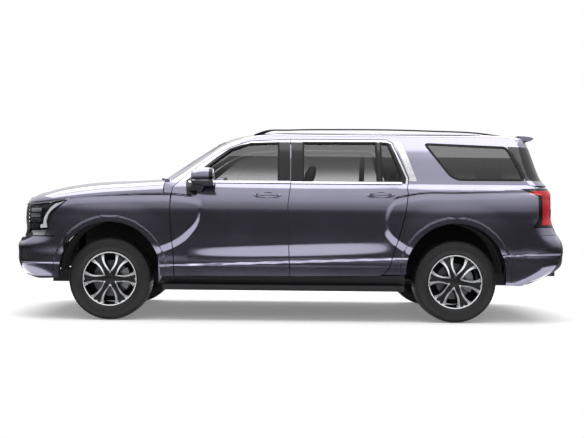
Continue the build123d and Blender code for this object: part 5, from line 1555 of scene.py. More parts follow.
# ---------------------------------------------------------------- doors
@dataclass
class Door:
    """One side door: skins, frame, brightwork and trim."""

    side: Side
    front: bool

    @property
    def body(self) -> str:
        """Name of the door's body and CAD node."""
        return f"{'front' if self.front else 'rear'}_{self.side.word}_door"

    def skins(self) -> None:
        """Painted outer skin below the belt, the satin window rim and black surround above it, and the
        carcass.
        """
        outline = offset_loop(np.array(FRONT_DOOR if self.front else REAR_DOOR, float), -SHUT_GAP / 2)
        windows = [FRONT_WINDOW] if self.front else [REAR_WINDOW, QUARTER_LIGHT]
        low, high = cut_off(outline, BELT_Z - 1, False), cut_off(outline, BELT_Z, True)
        clad(
            self.body, "paint", f"{self.body}_skin", LOW, [on_side(LOW, low)], PAINT, SKIN, side=self.side,
            step=DOOR_GRID, under=LOW_BARE,
        )
        rim = on_side(HIGH, FRONT_SURROUND if self.front else REAR_SURROUND)
        loops = [on_side(HIGH, high), rim]
        clad(self.body, "satin_metal", f"{self.body}_window_rim", HIGH, loops, SATIN, SKIN, side=self.side)
        cuts = [on_side(HIGH, w) for w in windows]
        clad(
            self.body, "gloss_black", f"{self.body}_surround", HIGH, [rim, *cuts], PIANO, 3.8, -0.6,
            side=self.side,
        )
        settle(carcass(self.body, PAINT, CABIN), self.body, "paint", self.body)

    def brightwork(self) -> None:
        """Bright belt moulding, window seals and the handle, whose cup is two flat plates: gloss black
        painted as the shadow in its top, satin metal painted as the highlight in its bottom.
        """
        ends = (-1000, -8) if self.front else (0, 1082)
        foot, head = 54 - HALF_WIDTH, 62 - HALF_WIDTH
        section = (
            (foot - 10, 1339), (foot - 10, 1345), (head - 1, 1363), (head + 3, 1362), (foot + 1, 1339),
        )
        rings = [
            np.array([(x, y, z + lift) for y, z in section])
            for x, lift in ((ends[0], 0.0), (ends[1], 4.0))
        ]
        belt = Solid().loft(rings, 0, False)
        shape = belt.on(self.side)
        settle(shape.build(f"{self.body}_belt_moulding", SATIN), self.body, "satin_metal")
        windows = [FRONT_WINDOW] if self.front else [REAR_WINDOW, QUARTER_LIGHT]
        seals = []
        for k, window in enumerate(windows):
            ring = np.array(window, float)
            loops = [on_side(HIGH, offset_loop(ring, 9)), on_side(HIGH, offset_loop(ring, -7))]
            seals.append(panel(f"{self.body}_seal{k}", HIGH, loops, SEAL, 12.0, 1.2, side=self.side))
        settle(joined(f"{self.body}_seals", seals), self.body, "trim_black")
        x, z = (-229.0, 1225.0) if self.front else (869.0, 1236.0)
        grip = Solid()
        surface = -curve(SIDE_LOW, z) - float(body_relief(np.array([x]), np.array([z]), np.array([1.0]))[0])
        rings = []
        turn = np.linspace(0, 2 * math.pi, 16, endpoint=False)
        for t in np.sin(np.linspace(-math.pi / 2, math.pi / 2, 25)) * 0.995:
            bow = 3 + 26 * (1 - t**4)
            width = 15 * (1 - abs(t) ** 2.4) ** 0.6 + 1
            ring = np.stack(
                [
                    x + 140 * t + 0 * turn, surface - bow + (2 + 5 * (1 - t * t)) * np.cos(turn),
                    z + width * np.sin(turn),
                ],
                1,
            )
            rings.append(ring)
        grip.loft(rings)
        for place in (x - 84, x + 84):
            grip.box((place - 20, surface - 24, z - 9), (place + 20, surface + 2, z + 9), 5)
        shape = grip.on(self.side)
        settle(shape.build(f"{self.body}_handle", PAINT), self.body, "paint")
        # The handle's cup is no recess: a gloss black plate in its top half is painted shadow, and a satin
        # metal plate in its bottom half is painted highlight.
        for word, part, finish, tone in (
            ("shade", turn[:9], PIANO, "gloss_black"),
            ("bowl", np.append(turn[8:], 0.0), SATIN, "satin_metal"),
        ):
            oval = on_side(LOW, np.stack([x + 8 + 66 * np.cos(part), z + 27 * np.sin(part)], 1), 5)
            clad(
                self.body, tone, f"{self.body}_handle_{word}", LOW, [oval], finish, 1.2, 0.5, side=self.side,
                step=(12, 6),
            )

    def trim(self) -> None:
        """Inner trim: armrest, pocket, speaker and pull."""
        x0, x1 = (-1050.0, -120.0) if self.front else (90.0, 960.0)
        y = -(HALF_WIDTH - 108.0)
        rest = Solid()
        rest.box((x0 + 90, y - 6, 1000), (x1 - 60, y + 42, 1046), 14)
        rest.box((x0 + 120, y - 6, 1046), (x0 + 330, y + 30, 1058), 5, 1)
        rest.box((x0 + 160, y - 6, 560), (x1 - 220, y + 34, 720), 16)
        rest.lathe(
            [(y - 6, 30), (y + 9, 34), (y + 12, 78), (y + 6, 90), (y - 6, 90)],
            (x0 + 190 if self.front else x0 + 260, 0, 850),
        )
        rest.pipe(
            [
                (x1 - 330, y - 4, 1090), (x1 - 310, y + 34, 1096), (x1 - 190, y + 38, 1104),
                (x1 - 165, y - 4, 1108),
            ],
            9,
            1,
        )
        shape = rest.on(self.side)
        settle(shape.build(f"{self.body}_trim", CABIN, SATIN), self.body, "cabin")

    def build(self) -> None:
        """Makes the whole door."""
        self.skins()
        self.brightwork()
        self.trim()


# ---------------------------------------------------------------- wheels
@dataclass
class Dish(Surface):
    """Face of a wheel read by X and Z from its centre; the outer side faces -Y."""

    face_y: float = -116.0
    hollow: float = 20.0

    def place(self, u: Array, v: Array) -> Array:
        """Points of the face in millimetres from the wheel's centre."""
        radius = np.hypot(u, v)
        depth = self.hollow * (1 - smooth(70, 252, radius)) - 5.0 * (1 - smooth(30, 66, radius))
        return np.stack([u, self.face_y + depth, v], 1)


@dataclass
class Wheel:
    """Wheel and tyre of one corner."""

    side: Side
    front: bool
    spokes: int = 6
    tread_pitches: int = 72

    @property
    def body(self) -> str:
        """Name of the wheel's body."""
        return f"{'front' if self.front else 'rear'}_{self.side.word}_wheel"

    def window(self, points: Sequence[Point2], k: int) -> Array:
        """One of the six window outlines from its right half, as width and radius from the hub."""
        half = np.array(points, float)
        loop = rounded([*map(tuple, half), *map(tuple, (half[1:] * np.array([-1, 1]))[::-1])], 9, 4)
        turn = math.radians(60 * k)
        return loop @ np.array([[math.cos(turn), math.sin(turn)], [-math.sin(turn), math.cos(turn)]])

    def rim(self) -> list[bpy.types.Object]:
        """Barrel, black spokes and bright machined edges."""
        inner = [(0, 70), (18, 98), (36, 126), (48, 153), (55, 180), (57, 205), (55, 232), (48, 247)]
        outer = [(0, 50), (30, 94), (51, 122), (65, 150), (74, 177), (80, 204), (88, 231), (99, 244)]
        dish = Dish()
        circle = lambda radius, count: np.stack(
            [radius * np.cos(np.linspace(0, 2 * math.pi, count, endpoint=False)),
             radius * np.sin(np.linspace(0, 2 * math.pi, count, endpoint=False))], 1)
        things = [panel(
            "spokes",
            dish,
            [circle(256, 120), *[self.window(inner, k) for k in range(self.spokes)]],
            WHEEL_BLACK,
            26,
            step=(7, 7),
        )]
        for k in range(self.spokes):
            strip = self.window(outer, k)
            far = np.hypot(*strip.T)
            strip[far > 255] *= (255 / far[far > 255])[:, None]
            things.append(panel(
                f"edge{k}", dish, [strip, self.window(inner, k)], TURNED, 5, 3.0, step=WHEEL_GRID,
            ))
            turn = math.radians(60 * k + 60)
            notch = np.array([(-17, 254.4), (-9, 246), (0, 240), (9, 246), (17, 254.4)])
            notch = notch @ np.array([[math.cos(turn - math.pi / 6), math.sin(turn - math.pi / 6)],
                                      [-math.sin(turn - math.pi / 6), math.cos(turn - math.pi / 6)]])
            things.append(panel(f"notch{k}", dish, [notch], TURNED, 5, 3.0, step=WHEEL_GRID))
        solid = Solid()
        face = dish.face_y
        solid.lathe(
            [
                (face - 5, 252), (face - 7, 256), (face - 6, 262.5), (face - 3, 264), (face + 4, 263),
                (face + 4, 252),
            ],
            (0, 0, 0),
            sides=120,
            slot=0,
        )
        solid.lathe(
            [
                (face - 1, 256), (face - 2, 266), (face + 6, 266), (face + 14, 256), (105, 250), (116, 262),
                (122, 262), (122, 256), (112, 244), (-60, 240), (face + 6, 250),
            ],
            (0, 0, 0),
            sides=96,
            slot=1,
        )
        solid.lathe([(-90, 0.5), (-90, 88), (-60, 92), (0, 92), (0, 0.5)], (0, 0, 0), sides=48, slot=1)
        cap = dish.face_y + 10
        solid.lathe(
            [(cap + 20, 0.5), (cap + 20, 35), (cap + 3, 36), (cap, 33), (cap - 2, 0.5)], (0, 0, 0), sides=40,
            slot=1,
        )
        for k in range(6):
            turn = math.radians(60 * k)
            x, z = 57 * math.cos(turn), 57 * math.sin(turn)
            solid.bar((x, cap + 8, z), (x, cap - 3, z), 10.5, 1, 6, 9.5)
            x, z = 118 * math.cos(turn), 118 * math.sin(turn)
            w, h = math.cos(turn), math.sin(turn)
            wedge = ((0.62, 1), (0.62, -1), (1.55, -0.5), (1.55, 0.5))
            rings = [
                np.array([(x * s - 7 * h * t, y, z * s + 7 * w * t) for s, t in wedge])
                for y in (dish.face_y + 9, dish.face_y + 4.2)
            ]
            solid.loft(rings, 1, False)
        things.append(solid.build("barrel", TURNED, WHEEL_BLACK))
        return things

    def brake(self) -> bpy.types.Object:
        """Ventilated disc that turns with the wheel."""
        solid = Solid()
        solid.lathe([(-36, 98), (-36, 176), (-24, 176), (-24, 98)], (0, 0, 0), sides=72, slot=0)
        solid.lathe([(-14, 98), (-14, 176), (-2, 176), (-2, 98)], (0, 0, 0), sides=72, slot=0)
        solid.lathe([(-52, 70), (-52, 96), (-40, 100), (-2, 100), (-2, 70)], (0, 0, 0), sides=48, slot=1)
        for k in range(24):
            turn = math.radians(15 * k)
            x, z = math.cos(turn), math.sin(turn)
            solid.bar((110 * x, -19, 110 * z), (172 * x, -19, 172 * z), 5.2, 1, 6)
        return solid.build("disc", DISC_IRON, CAST_IRON)

    def tyre(self) -> list[bpy.types.Object]:
        """Tyre casing with sidewall rings, and tread blocks copied round it."""
        half = TYRE_WIDTH / 2
        out = [
            (-104, 258), (-113, 265), (-120, 276), (-126, 292), (-130, 310), (-131.2, 311), (-132.3, 330),
            (-131.4, 331), (-130.5, 347), (-129, 349), (-128.6, 352), (-126, 366), (-123.4, 368),
            (-121, 378), (-114, 387), (-100, 390.6), (-60, 391.6), (0, 392),
        ]
        back = [(-y, r) for y, r in reversed(out[:-1])]
        casing = Solid()
        casing.lathe(
            [
                *out, *back, (96, 262), (118, 310), (112, 370), (60, 380), (-60, 380), (-112, 370),
                (-118, 310), (-96, 262),
            ],
            (0, 0, 0),
            sides=108,
        )
        for radius in (300.0, 357.0):
            y = -float(np.interp(radius, [292, 310, 330, 352, 366], [126, 130, 132, 128.6, 126]))
            casing.lathe(
                [(y + 2, radius - 1.8), (y - 0.9, radius), (y + 2, radius + 1.8)], (0, 0, 0), sides=108,
            )
        things = [casing.build("casing", RUBBER)]
        for k, (y0, y1, top, skew) in enumerate((
            (-half + 7, -half + 42, 396.5, 0), (-half + 50, -26, 400, 6), (-20, 20, 400, -5),
            (26, half - 50, 400, 6), (half - 42, half - 7, 396.5, 0),
        )):
            unit = Solid()
            edge = 5.0 if k in (0, 4) else 0.0
            inner_top = top + (3.2 if k in (0, 4) else 0)
            y_in, y_out = (y1, y0) if k == 0 else (y0, y1)
            corners = [
                (-13.5, y_out, top - edge), (13.5, y_out, top - edge), (13.5 + skew, y_in, inner_top),
                (-13.5 + skew, y_in, inner_top),
            ]
            base = [(x * 1.04, y, 384.0) for x, y, _ in corners]
            unit.loft([np.array(base), np.array(corners)], 0, False)
            block = unit.build("block", RUBBER)
            things.append(repeat(
                block, f"tread{k}", self.tread_pitches, (0, 0, 0), 2 * math.pi / self.tread_pitches, RUBBER,
            ))
        return things

    def place(self, things: list[bpy.types.Object], name: str, slot: str, *nodes: str) -> None:
        """Moves finished shapes from the origin to the corner and settles them as one piece."""
        piece = joined(f"{self.body}_{name}", things) if len(things) > 1 else things[0]
        piece.name = f"{self.body}_{name}"
        if self.side is Side.RIGHT:
            piece.data.transform(Matrix.Diagonal((1, -1, 1, 1)))
            piece.data.flip_normals()
        x = FRONT_AXLE_X if self.front else REAR_AXLE_X
        turn = Matrix.Rotation(math.radians(0 if self.front else 9), 4, "Y")
        centre = (x * MM, self.side.value * WHEEL_Y * MM, TYRE_RADIUS * MM)
        piece.data.transform(Matrix.Translation(centre) @ turn)
        settle(piece, self.body, slot, *nodes)

    def build(self) -> None:
        """Makes the rim, disc and tyre."""
        tyre = self.body.replace("wheel", "tyre")
        self.place(self.rim(), "rim", "alloy", self.body)
        self.place([self.brake()], "disc", "iron")
        self.place(self.tyre(), "tyre", "tyre", tyre)


# ---------------------------------------------------------------- lamps and nose
@dataclass
class Lamps:
    """Head and tail lamps of both sides."""

    def head(self, side: Side) -> None:
        """Clear cover, dark housing, bright guides and reflector blocks of one head lamp."""
        word = side.word
        outline = offset_loop(np.array(HEADLAMP, float), -4)
        inner = on_end(LOW, [(0, 850), (GRILLE_HALF + 4, 850), (GRILLE_HALF + 4, 1190), (0, 1190)], -1)
        loop = on_side(LOW, outline)
        clad(
            "chassis", "lamp_clear", f"{word}_headlamp_cover", LOW_BARE, [loop, inner], CLEAR, 3.0, side=side,
        )
        clad(
            "chassis", "gloss_black", f"{word}_headlamp_housing", LOW_BARE, [loop, inner], PIANO, 5.0, -46,
            side=side,
        )
        guide = on_side(
            LOW,
            [
                (-2198, 1150), (-2287, 1092), (-2336, 1052), (-2366, 1012), (-2385, 953), (-2376, 890),
                (-2448, 886), (-2448, 916), (-2415, 926), (-2405, 983), (-2385, 1022), (-2336, 1087),
                (-2287, 1124),
            ],
        )
        bars = [panel(f"{word}_guide", LOW_BARE, [guide], LIGHT_GUIDE, 10, -12, side=side)]
        for k in range(4):
            z = 888 + 52 * k
            block = on_side(LOW, [(-2590, z), (-2486 + 14 * k, z), (-2480 + 14 * k, z + 38), (-2590, z + 38)])
            bars.append(panel(f"{word}_block{k}", LOW_BARE, [block, inner], SILVERED, 16, -22, side=side))
        settle(joined(f"{word}_headlamp_inside", bars), "chassis", "lamp_clear")
        trapezoid = on_side(LOW, [(-2560, 814), (-2524, 862), (-2358, 870), (-2392, 814)])
        clad("chassis", "satin_metal", f"{word}_lower_accent", LOW, [trapezoid], SATIN, 6, 1.0, side=side)
        brow = on_side(
            LOW,
            [
                (-2600, 1118), (-2506, 1118), (-2300, 1142), (-2158, 1174), (-2300, 1158), (-2440, 1145),
                (-2600, 1146),
            ],
        )
        clad("chassis", "satin_metal", f"{word}_brow", LOW, [brow, inner], DARK_SATIN, 6, 1.5, side=side)

    def tail(self, side: Side) -> None:
        """Red cover with its dark rim, lit band and orange strip of one tail lamp."""
        word = side.word
        outline = offset_loop(np.array(TAIL_LAMP, float), -4)
        inner = on_end(LOW, [(0, 900), (TAIL_LAMP_INNER_Y, 900), (TAIL_LAMP_INNER_Y, 1340), (0, 1340)], 1)
        loop = on_side(LOW, outline)
        band = on_side(
            LOW,
            [
                (2440, 960), (2452, 1030), (2448, 1240), (2330, 1290), (2580, 1296), (2610, 1240),
                (2614, 1020), (2590, 960),
            ],
        )
        pane = on_side(
            LOW, [(2462, 985), (2475, 1040), (2470, 1215), (2560, 1232), (2588, 1040), (2570, 985)],
        )
        clad(
            "chassis", "gloss_black", f"{word}_tail_lamp_rim", LOW_BARE, [loop, inner, band], PIANO, 5, 0,
            side=side,
        )
        clad(
            "chassis", "lamp_red", f"{word}_tail_lamp_back", LOW_BARE, [loop, inner], DARK_RED, 5, -24,
            side=side,
        )
        clad(
            "chassis", "lamp_red", f"{word}_tail_lamp_band", LOW_BARE, [band, inner, pane], RED, 9, 1.5,
            side=side,
        )
        clad("chassis", "lamp_red", f"{word}_tail_lamp_pane", LOW_BARE, [pane, inner], RED, 4, -4, side=side)
        strip = on_side(LOW, [(2300, 1262), (2440, 1250), (2440, 1264), (2310, 1276)])
        clad("chassis", "lamp_red", f"{word}_turn_strip", LOW_BARE, [strip], ORANGE, 6, 2, side=side)

    def build(self) -> None:
        """Makes the four lamps."""
        for side in Side:
            self.head(side)
            self.tail(side)
        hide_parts("headlamps")
        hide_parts("tail_lamps")


@dataclass
class Nose:
    """Grille with its frame and slats, bumper vents and blank front plate."""

    slats: int = 8

    def grille(self) -> None:
        """Satin frame, dark backing and bright slats."""
        edge, top = GRILLE_HALF, HALF_LENGTH - 80
        outer = on_end(LOW_BARE, [(0, 806), (edge, 806), (edge, 1130), (edge - 40, 1180), (0, 1212)], -1)
        inner = on_end(
            LOW_BARE, [(0, 846), (edge - 62, 846), (edge - 62, 1112), (edge - 96, 1142), (0, 1168)], -1,
        )
        settle(
            panel("grille_frame", LOW_BARE, [outer, inner], DARK_SATIN, 24, 6, step=(14, 8)), "chassis",
            "satin_metal", "grille",
        )
        clad("chassis", "trim_black", "grille_backing", LOW_BARE, [inner], TRIM, 5, -46)
        unit = Solid()
        y = np.linspace(66 - edge, edge - 66, 49)
        x = -(top - 450 * (1 - (1 - (np.abs(y) / 997) ** 4) ** (1 / 2.4)))
        section = ((8, 846.0), (26, 842.0), (40, 850.0), (26, 864.0), (8, 860.0))
        rings = [np.array([(a + back, b, z) for back, z in section]) for a, b in zip(x, y)]
        unit.loft(rings, 0, False)
        slats = repeat(
            unit.build("slat", DARK_SATIN), "grille_slats", self.slats, (-0.0006, 0, 0.038), 0.0, DARK_SATIN,
        )
        settle(slats, "chassis", "satin_metal")
        bars = Solid()
        for a, b in zip(x[3:-3:2], y[3:-3:2]):
            bars.box((a + 26, b - 3, 846), (a + 38, b + 3, 1140), 1.5)
        settle(bars.build("grille_bars", PIANO), "chassis", "gloss_black")

    def vents(self) -> None:
        """Slotted black vents in the bumper's corners, lower inlet bars, and the blank plate."""
        for side in Side:
            things = [panel(
                f"{side.word}_vent_back", LOW_BARE, [on_side(LOW, offset_loop(np.array(VENT, float), 3))],
                PIANO, 4, -16, side=side,
            )]
            for k in range(4):
                z = 588 + 28 * k
                rib = on_side(LOW, [(-2642, z), (-2642, z + 11), (-2536, z + 11), (-2536, z)])
                things.append(panel("rib", LOW_BARE, [rib], TRIM, 12, -2, side=side))
            settle(joined(f"{side.word}_bumper_vent", things), "chassis", "trim_black")
        things = []
        for k in range(3):
            z = 522 + 22 * k
            things.append(panel(
                "bar", LOW_BARE, [on_end(LOW, [(0, z), (440, z), (440, z + 9), (0, z + 9)], -1)], TRIM, 12,
                -4,
            ))
        settle(joined("lower_inlet_bars", things), "chassis", "trim_black")
        plates = Solid()
        plates.box((-HALF_LENGTH - 1, -260, 605), (-HALF_LENGTH + 9, 260, 716), 2)
        settle(plates.build("front_plate", PLATE), "chassis", "satin_metal")
        plates = Solid()
        plates.box((2643, -262, 962), (2652, 262, 1078), 2)
        settle(plates.build("rear_plate", PLATE), "tailgate", "satin_metal")

    def build(self) -> None:
        """Makes the nose's details."""
        self.grille()
        self.vents()


# ---------------------------------------------------------------- glass, roof gear and mirrors
def dress(node: str, finish: Finish) -> None:
    """Gives a CAD node that stays in view its own finish."""
    thing = FRAME["nodes"][node]
    if not thing.material_slots:
        thing.data.materials.append(None)
    for place in thing.material_slots:
        place.material = finish.build()
    log.info("%s: %s", node, finish.name)


@dataclass
class Glazing:
    """Glass and the black and bright trim round it."""

    def quarter(self, side: Side) -> None:
        """Trim of the rear side glass and the pillars next to it."""
        word = side.word
        ring = rounded(SIDE_GLASS, 40)
        loops = [on_side(HIGH, offset_loop(ring, 10)), on_side(HIGH, offset_loop(ring, -12))]
        clad("chassis", "trim_black", f"{word}_quarter_seal", HIGH, loops, SEAL, 10, 1.4, side=side)
        pillar = on_side(
            HIGH,
            [
                (1058, 1779), (1089, 1769), (1146, 1636), (1227, 1389), (1220, 1375), (1156, 1379),
                (1158, 1406), (1101, 1573), (1046, 1720), (1022, 1775),
            ],
        )
        clad("chassis", "satin_metal", f"{word}_pillar_strip", HIGH, [pillar], SATIN, 4, 2.0, side=side)
        low, high = 1392.0, 1732.0
        z = np.linspace(low, high, 18)
        gate = np.stack([np.interp(z, (1345, 1740), (762, 688)), z], 1)
        glass_edge = np.stack([np.interp(z, (1396, 1725), (2292, 2146)), z], 1)
        window_edge = np.stack([np.interp(z, (1372, 1640, 1736), (694, 644, 612)), z], 1)
        for name, body, first, second in (
            ("rear_pillar_cover", "chassis", HIGH.from_side(glass_edge), HIGH.from_end(gate + [6, 0], 1)),
            ("gate_pillar_cover", "tailgate", HIGH.from_end(gate - [6, 0], 1), HIGH.from_end(window_edge, 1)),
        ):
            loop = resample(np.vstack([first, second[::-1]]), 16)
            clad(
                body, "gloss_black", f"{word}_{name}", HIGH, [loop], PIANO, 1.6, 0.6, side=side, step=(12, 8),
            )

    def build(self) -> None:
        """Dresses every pane and makes the trim."""
        for node, finish in (
            ("windscreen", GLASS), ("quarter_glasses", PRIVACY), ("tailgate_glass", PRIVACY),
        ):
            dress(node, finish)
        for side in Side:
            for end in ("front", "rear"):
                dress(f"{end}_{side.word}_door_glass", GLASS)
            self.quarter(side)
        band = [
            on_end(HIGH, SCREEN_HOLE, -1),
            on_end(HIGH, offset_loop(np.array(SCREEN_HOLE, float), -26)[1:-1], -1),
        ]
        rim = np.array(SCREEN_HOLE, float)
        inner = [(0, 1392), (672, 1392), (664, 1496), (614, 1630), (552, 1746), (394, 1760), (0, 1768)]
        band = [on_end(HIGH, rim, -1), on_end(HIGH, inner, -1)]
        clad("chassis", "gloss_black", "screen_band", HIGH, band, PIANO, 2.0, -1.0, step=BAND_GRID)
        band = [
            on_end(HIGH, TAIL_WINDOW, 1),
            on_end(HIGH, [(0, 1396), (660, 1396), (614, 1630), (584, 1710), (0, 1722)], 1),
        ]
        clad("tailgate", "gloss_black", "tail_window_band", HIGH, band, PIANO, 2.0, -1.0, step=BAND_GRID)
        for y, far in ((430.0, -180.0), (-60.0, -600.0)):
            self.wiper(y, far)

    def wiper(self, y: float, far: float) -> None:
        """One windscreen wiper that lies low on the glass."""
        arm = Solid()
        base_x = -1440.0
        arm.lathe([(1320, 3), (1320, 16), (1334, 14), (1338, 3)], (base_x, y, 0), 2, 20)

        def on_glass(across: float, z: float, off: float) -> Point3:
            """Point off the windscreen."""
            spot = HIGH.from_end([(across, z)], -1)
            point = HIGH.place(*spot.T) + HIGH.normal(*spot.T) * off
            return tuple(point[0])

        path = [
            (base_x, y, 1336),
            *[on_glass(y + (far - y) * t, 1384 + 14 * t, 20 - 6 * t) for t in (0.15, 0.4, 0.55)],
        ]
        arm.pipe(path, 6)
        blade = [on_glass(y + (far - y) * t - 10, 1378 + 26 * t, 7) for t in np.linspace(0.02, 1.0, 9)]
        arm.pipe(blade, 7)
        settle(arm.build(f"wiper_{'left' if y < 0 else 'right'}", TRIM), "chassis", "trim_black")


@dataclass
class RoofGear:
    """Roof rails, spoiler, aerial fin and door mirrors."""

    def rails(self) -> None:
        """Two black rails whose ends come down to the roof."""
        solid = Solid()
        x = np.linspace(-372, 2112, 60)
        top = curve(
            (
                (-376, 1846), (-275, 1884), (-12, 1901), (495, 1911), (1103, 1911), (1407, 1904),
                (1914, 1884), (2117, 1857),
            ),
            x,
        )
        floor = ROOF.place(x, np.full(60, -640.0))[:, 2]
        rings = []
        for a, b, c in zip(x, top, floor):
            low = max(b - 15, c - 1)
            lift = smooth(60, 190, np.array([min(a + 372, 2112 - a)]))[0]
            low = low * lift + (c - 2) * (1 - lift)
            section = (
                (-14, low + 3), (-15, b - 8), (-11, b - 2), (0, b), (11, b - 2), (15, b - 8),
                (14, low + 3), (8, low), (-8, low),
            )
            rings.append(np.array([(a, -640 + dy, z) for dy, z in section]))
        solid.loft(rings)
        settle(solid.mirrored().build("rails", SATIN_BLACK), "chassis", "trim_black", "roof_rails")
        fin = Solid()
        rings = []
        for t in np.linspace(0, 1, 12):
            z = 1858 + 42 * t
            length, width = 118 * (1 - t) ** 0.8 + 16, 28 * (1 - t) ** 0.6 + 3
            turn = np.linspace(0, 2 * math.pi, 20, endpoint=False)
            rings.append(np.stack(
                [1850 + 70 * t + length * np.cos(turn), width * np.sin(turn), np.full(20, z)], 1,
            ))
        fin.loft(rings)
        settle(fin.build("aerial_fin", PAINT), "chassis", "paint")

    def spoiler(self) -> None:
        """Roof spoiler in body colour, with its high brake lamp."""
        outline = np.array([
            (2296, 1863), (2380, 1860), (2440, 1853), (2468, 1843), (2472, 1836), (2462, 1824), (2424, 1807),
            (2350, 1822),
        ])
        solid = Solid()
        rings = []
        for y in np.linspace(-598, 598, 33):
            t = abs(y) / 598
            pull = 8 * t**3.2
            drop = 3 * t**2.5
            ring = rounded([tuple(p) for p in outline], 12, 3)
            rings.append(np.stack(
                [ring[:, 0] - pull * (ring[:, 0] > 2340), np.full(len(ring), y), ring[:, 1] - drop], 1,
            ))
        solid.loft(rings)
        settle(solid.build("spoiler", PAINT), "tailgate", "paint", "rear_spoiler")
        lamp = Solid()
        lamp.box((2450, -170, 1829), (2474, 170, 1841), 3)
        settle(lamp.build("high_brake_lamp", RED), "tailgate", "lamp_red")

    def mirror(self, side: Side) -> None:
        """One door mirror: painted cap, black lower shell, glass and foot."""
        shell, cap, glass = Solid(), Solid(), Solid()

        def ring(x: float, w: float, h: float, lift: float, split: int) -> Array:
            """One closed section of the housing across the vehicle."""
            turn = np.linspace(0, 2 * math.pi, 36, endpoint=False)
            y = -1100 + w * np.sign(np.cos(turn)) * np.abs(np.cos(turn)) ** 0.7
            z = 1393 + lift + h * np.sign(np.sin(turn)) * np.abs(np.sin(turn)) ** 0.75
            if split:
                z = np.maximum(z, 1350.0 + 6 * (x + 966) / 226)
            return np.stack([np.full(36, x), y, z], 1)

        sections = [
            (-960, 40, 22, -14), (-957, 70, 42, -10), (-948, 94, 58, -6), (-928, 110, 72, -2),
            (-890, 119, 83, 0), (-840, 123, 88, 1), (-780, 124, 88, 1), (-752, 122, 86, 1),
            (-744, 118, 82, 1),
        ]
        shell.loft([ring(x, w, h, lift, 0) for x, w, h, lift in sections])
        cap.loft([ring(x - 2, w + 1.6, h + 1.6, lift, 1) for x, w, h, lift in sections[:-2]])
        glass.loft([ring(x, w, h, 2, 0) for x, w, h in ((-745, 108, 76), (-740.5, 106, 74))])
        stalk = (
            (-938, -950, 1222, 1300), (-930, -990, 1240, 1312), (-905, -1040, 1290, 1340),
            (-890, -1075, 1316, 1352),
        )
        rings = [
            np.array([(x + dx, y, z) for dx, z in ((-60, a), (58, a + 6), (56, b), (-50, b - 6))])
            for x, y, a, b in stalk
        ]
        shell.loft(rings, 0)
        for solid, name, finish, word in (
            (shell, "shell", PIANO, "gloss_black"), (cap, "cap", PAINT, "paint"),
            (glass, "mirror_glass", CHROME, "gloss_black"),
        ):
            shape = solid.on(side)
            piece = shape.build(f"{side.word}_mirror_{name}", finish)
            nodes = (f"{side.word}_mirror",) if name == "shell" else ()
            settle(piece, f"front_{side.word}_door", word, *nodes)
        base = on_side(LOW, [(-1026, 1343), (-1012, 1216), (-916, 1216), (-902, 1285), (-898, 1343)])
        clad(
            f"front_{side.word}_door", "gloss_black", f"{side.word}_mirror_base", LOW, [base], PIANO, 3.0,
            2.0, side=side,
        )

    def steps(self) -> None:
        """Side steps with their tread ribs."""
        solid = Solid()
        low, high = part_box("side_steps")
        x0, x1, y0 = low[0] / MM, high[0] / MM, low[1] / MM
        y1, z1 = y0 + 150, 356.0
        outline = [
            (y0, z1 - 26), (y0 + 4, z1 - 6), (y0 + 14, z1), (y1, z1), (y1, z1 - 40), (y0 + 30, z1 - 46),
            (y0 + 6, z1 - 38),
        ]
        solid.prism(outline, "yz", x0 + 2, x1 - 2, 0, 4)
        settle(solid.mirrored().build("step_boards", TRIM), "chassis", "trim_black")
        unit = Solid()
        unit.box((x0 + 60, y0 + 24, z1), (x0 + 72, y0 + 130, z1 + 2.5), 1)
        ribs = repeat(
            unit.mirrored().build("rib", RUBBER), "step_ribs", int((x1 - x0 - 120) / 24), (0.024, 0, 0), 0.0,
            RUBBER,
        )
        settle(ribs, "chassis", "trim_black")
        dress("side_steps", TRIM)

    def build(self) -> None:
        """Makes the roof gear, mirrors and steps."""
        self.rails()
        self.spoiler()
        self.steps()
        for side in Side:
            self.mirror(side)


